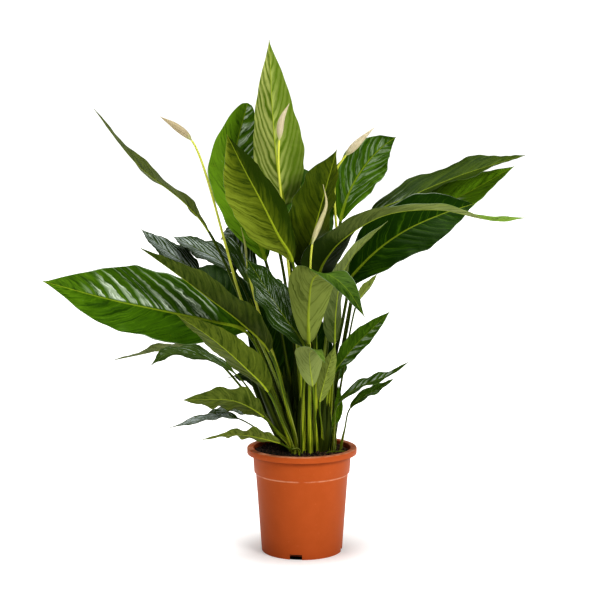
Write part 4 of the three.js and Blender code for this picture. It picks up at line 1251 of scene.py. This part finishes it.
def makeScrap():
    (x0, y0), (x1, y1) = scrap["ends"]
    length = math.hypot(x1 - x0, y1 - y0)
    t = np.linspace(0, 1, scrap["stations"])[:, None]
    s = np.linspace(-1, 1, scrap["columns"])[None, :]
    half = scrap["width"] / 2 * np.maximum(np.sin(np.pi * t), scrap["tip"])
    x = x0 + (x1 - x0) * t - (y1 - y0) / length * s * half
    y = y0 + (y1 - y0) * t + (x1 - x0) / length * s * half
    z = soilTop(x, y) + scrap["over"] + scrap["arch"] * np.sin(np.pi * t) * (1 - scrap["flatter"] * s * s)
    over, under = [np.stack([x, y, z + lift], axis=2) for lift in (scrap["thick"], -scrap["thick"])]
    across = bothFaces(s, s) + 0 * t
    values = {"across": across}
    for name, value in (("alongStem", "greenness"), ("stemLight", "tone"), ("seed", "seed")):
        values[name] = np.full(across.shape, scrap[value])
    faces = tubeFaces(scrap["stations"], 2 * scrap["columns"])
    addPiece("foliageScrap", bothFaces(over, under), faces, [leafMaterials[2]], values=values)


print("soil")
random = np.random.default_rng(7)
peat, fibre = peatSkin(), fibreSkin()
makePeat(random, peat)
makeCrumbs(random, peat)
makeFibres(random, fibre)
makeScrap()


# Studio
studio = {
    "floor": 30,
    "floorColours": ((0.78, 0.77, 0.76), (0.82, 0.81, 0.80)),
    "paintedShade": (0.0585, 0.0612),  # radii where the foot of the pot ends: painted shade on the floor within
    "glow": (-0.02, 0.17),  # radii where the floor's own light starts and is full: a painted shadow round the pot
    "glowStrength": 0.62,
    "glowSeen": (1.0, 1.0, 1.0),
    "glowOnPlant": (0.45, 0.45, 0.45),
    "sky": 0.1,
    "sunFrom": (-0.1, 0.0, 1),
    "sunSpread": 40,
    "sun": 2.6,
}


# A white sweep: it glows away from the pot, and fades towards it in a painted shadow, with painted shade
# beneath the pot.
def floorPaint():
    graph = Graph("floorPaint")
    reach = graph.add("ShaderNodeVectorMath", {"operation": "LENGTH"}, {0: graph.place()}, out="Value")
    paintedShade = 1 - graph.step(reach, *studio["paintedShade"])
    seen = graph.add("ShaderNodeLightPath", out="Is Camera Ray")
    glow = graph.mix(seen, studio["glowOnPlant"], studio["glowSeen"])
    # the glow fades towards the pot in a painted shadow, and is out beneath it
    glow = graph.mix(graph.step(reach, *studio["glow"]) * (1 - paintedShade), (0.0, 0.0, 0.0), glow)
    pale = graph.mix(graph.noise(30, 3), *studio["floorColours"])
    return graph.finish({
        # painted shade on the floor beneath the pot
        "Base Color": graph.mix(paintedShade, pale, (0.01, 0.01, 0.01)),
        "Roughness": 0.9,
        "Specular IOR Level": 0.1,
        "Emission Color": glow,
        "Emission Strength": studio["glowStrength"],
    })


def makeFloor():
    size = studio["floor"]
    corners = [(-size, -size, 0), (size, -size, 0), (size, size, 0), (-size, size, 0)]
    mesh = bpy.data.meshes.new("floor")
    mesh.from_pydata(corners, [], [(0, 1, 2, 3)])
    mesh.materials.append(floorPaint())
    floor = bpy.data.objects.new("floor", mesh)
    bpy.context.scene.collection.objects.link(floor)


def addLamp(name, place, target, size, watts):
    data = bpy.data.lights.new(name, "AREA")
    data.shape = "RECTANGLE"
    data.size, data.size_y = size
    data.energy = watts
    lamp = bpy.data.objects.new(name, data)
    lamp.location = place
    lamp.rotation_euler = (Vector(target) - Vector(place)).to_track_quat("-Z", "Y").to_euler()
    bpy.context.scene.collection.objects.link(lamp)


def addSun():
    data = bpy.data.lights.new("overhead", "SUN")
    data.angle = math.radians(studio["sunSpread"])
    data.energy = studio["sun"]
    sun = bpy.data.objects.new("overhead", data)
    sun.rotation_euler = Vector(studio["sunFrom"]).to_track_quat("Z", "Y").to_euler()
    bpy.context.scene.collection.objects.link(sun)


# White to the camera, and dimmer as a light.
def makeWorld():
    world = bpy.data.worlds.new("studio")
    world.use_nodes = True
    tree = world.node_tree
    tree.nodes.clear()
    path = tree.nodes.new("ShaderNodeLightPath")
    mixer = tree.nodes.new("ShaderNodeMixShader")
    tree.links.new(path.outputs["Is Camera Ray"], mixer.inputs[0])
    for slot, strength in ((1, studio["sky"]), (2, 1.0)):
        white = tree.nodes.new("ShaderNodeBackground")
        white.inputs["Color"].default_value = (1, 1, 1, 1)
        white.inputs["Strength"].default_value = strength
        tree.links.new(white.outputs[0], mixer.inputs[slot])
    output = tree.nodes.new("ShaderNodeOutputWorld")
    tree.links.new(mixer.outputs[0], output.inputs[0])
    bpy.context.scene.world = world


print("studio")
makeFloor()
makeWorld()
addLamp("key", place=(1.5, -1.8, 1.4), target=(0, 0, 0.35), size=(1.0, 1.0), watts=32)
addLamp("fill", place=(-1.8, -1.4, 0.8), target=(0, 0, 0.4), size=(1.5, 2.0), watts=3)
addSun()
bpy.context.scene.view_settings.view_transform = "Standard"
bpy.context.scene.view_settings.look = "Medium High Contrast"
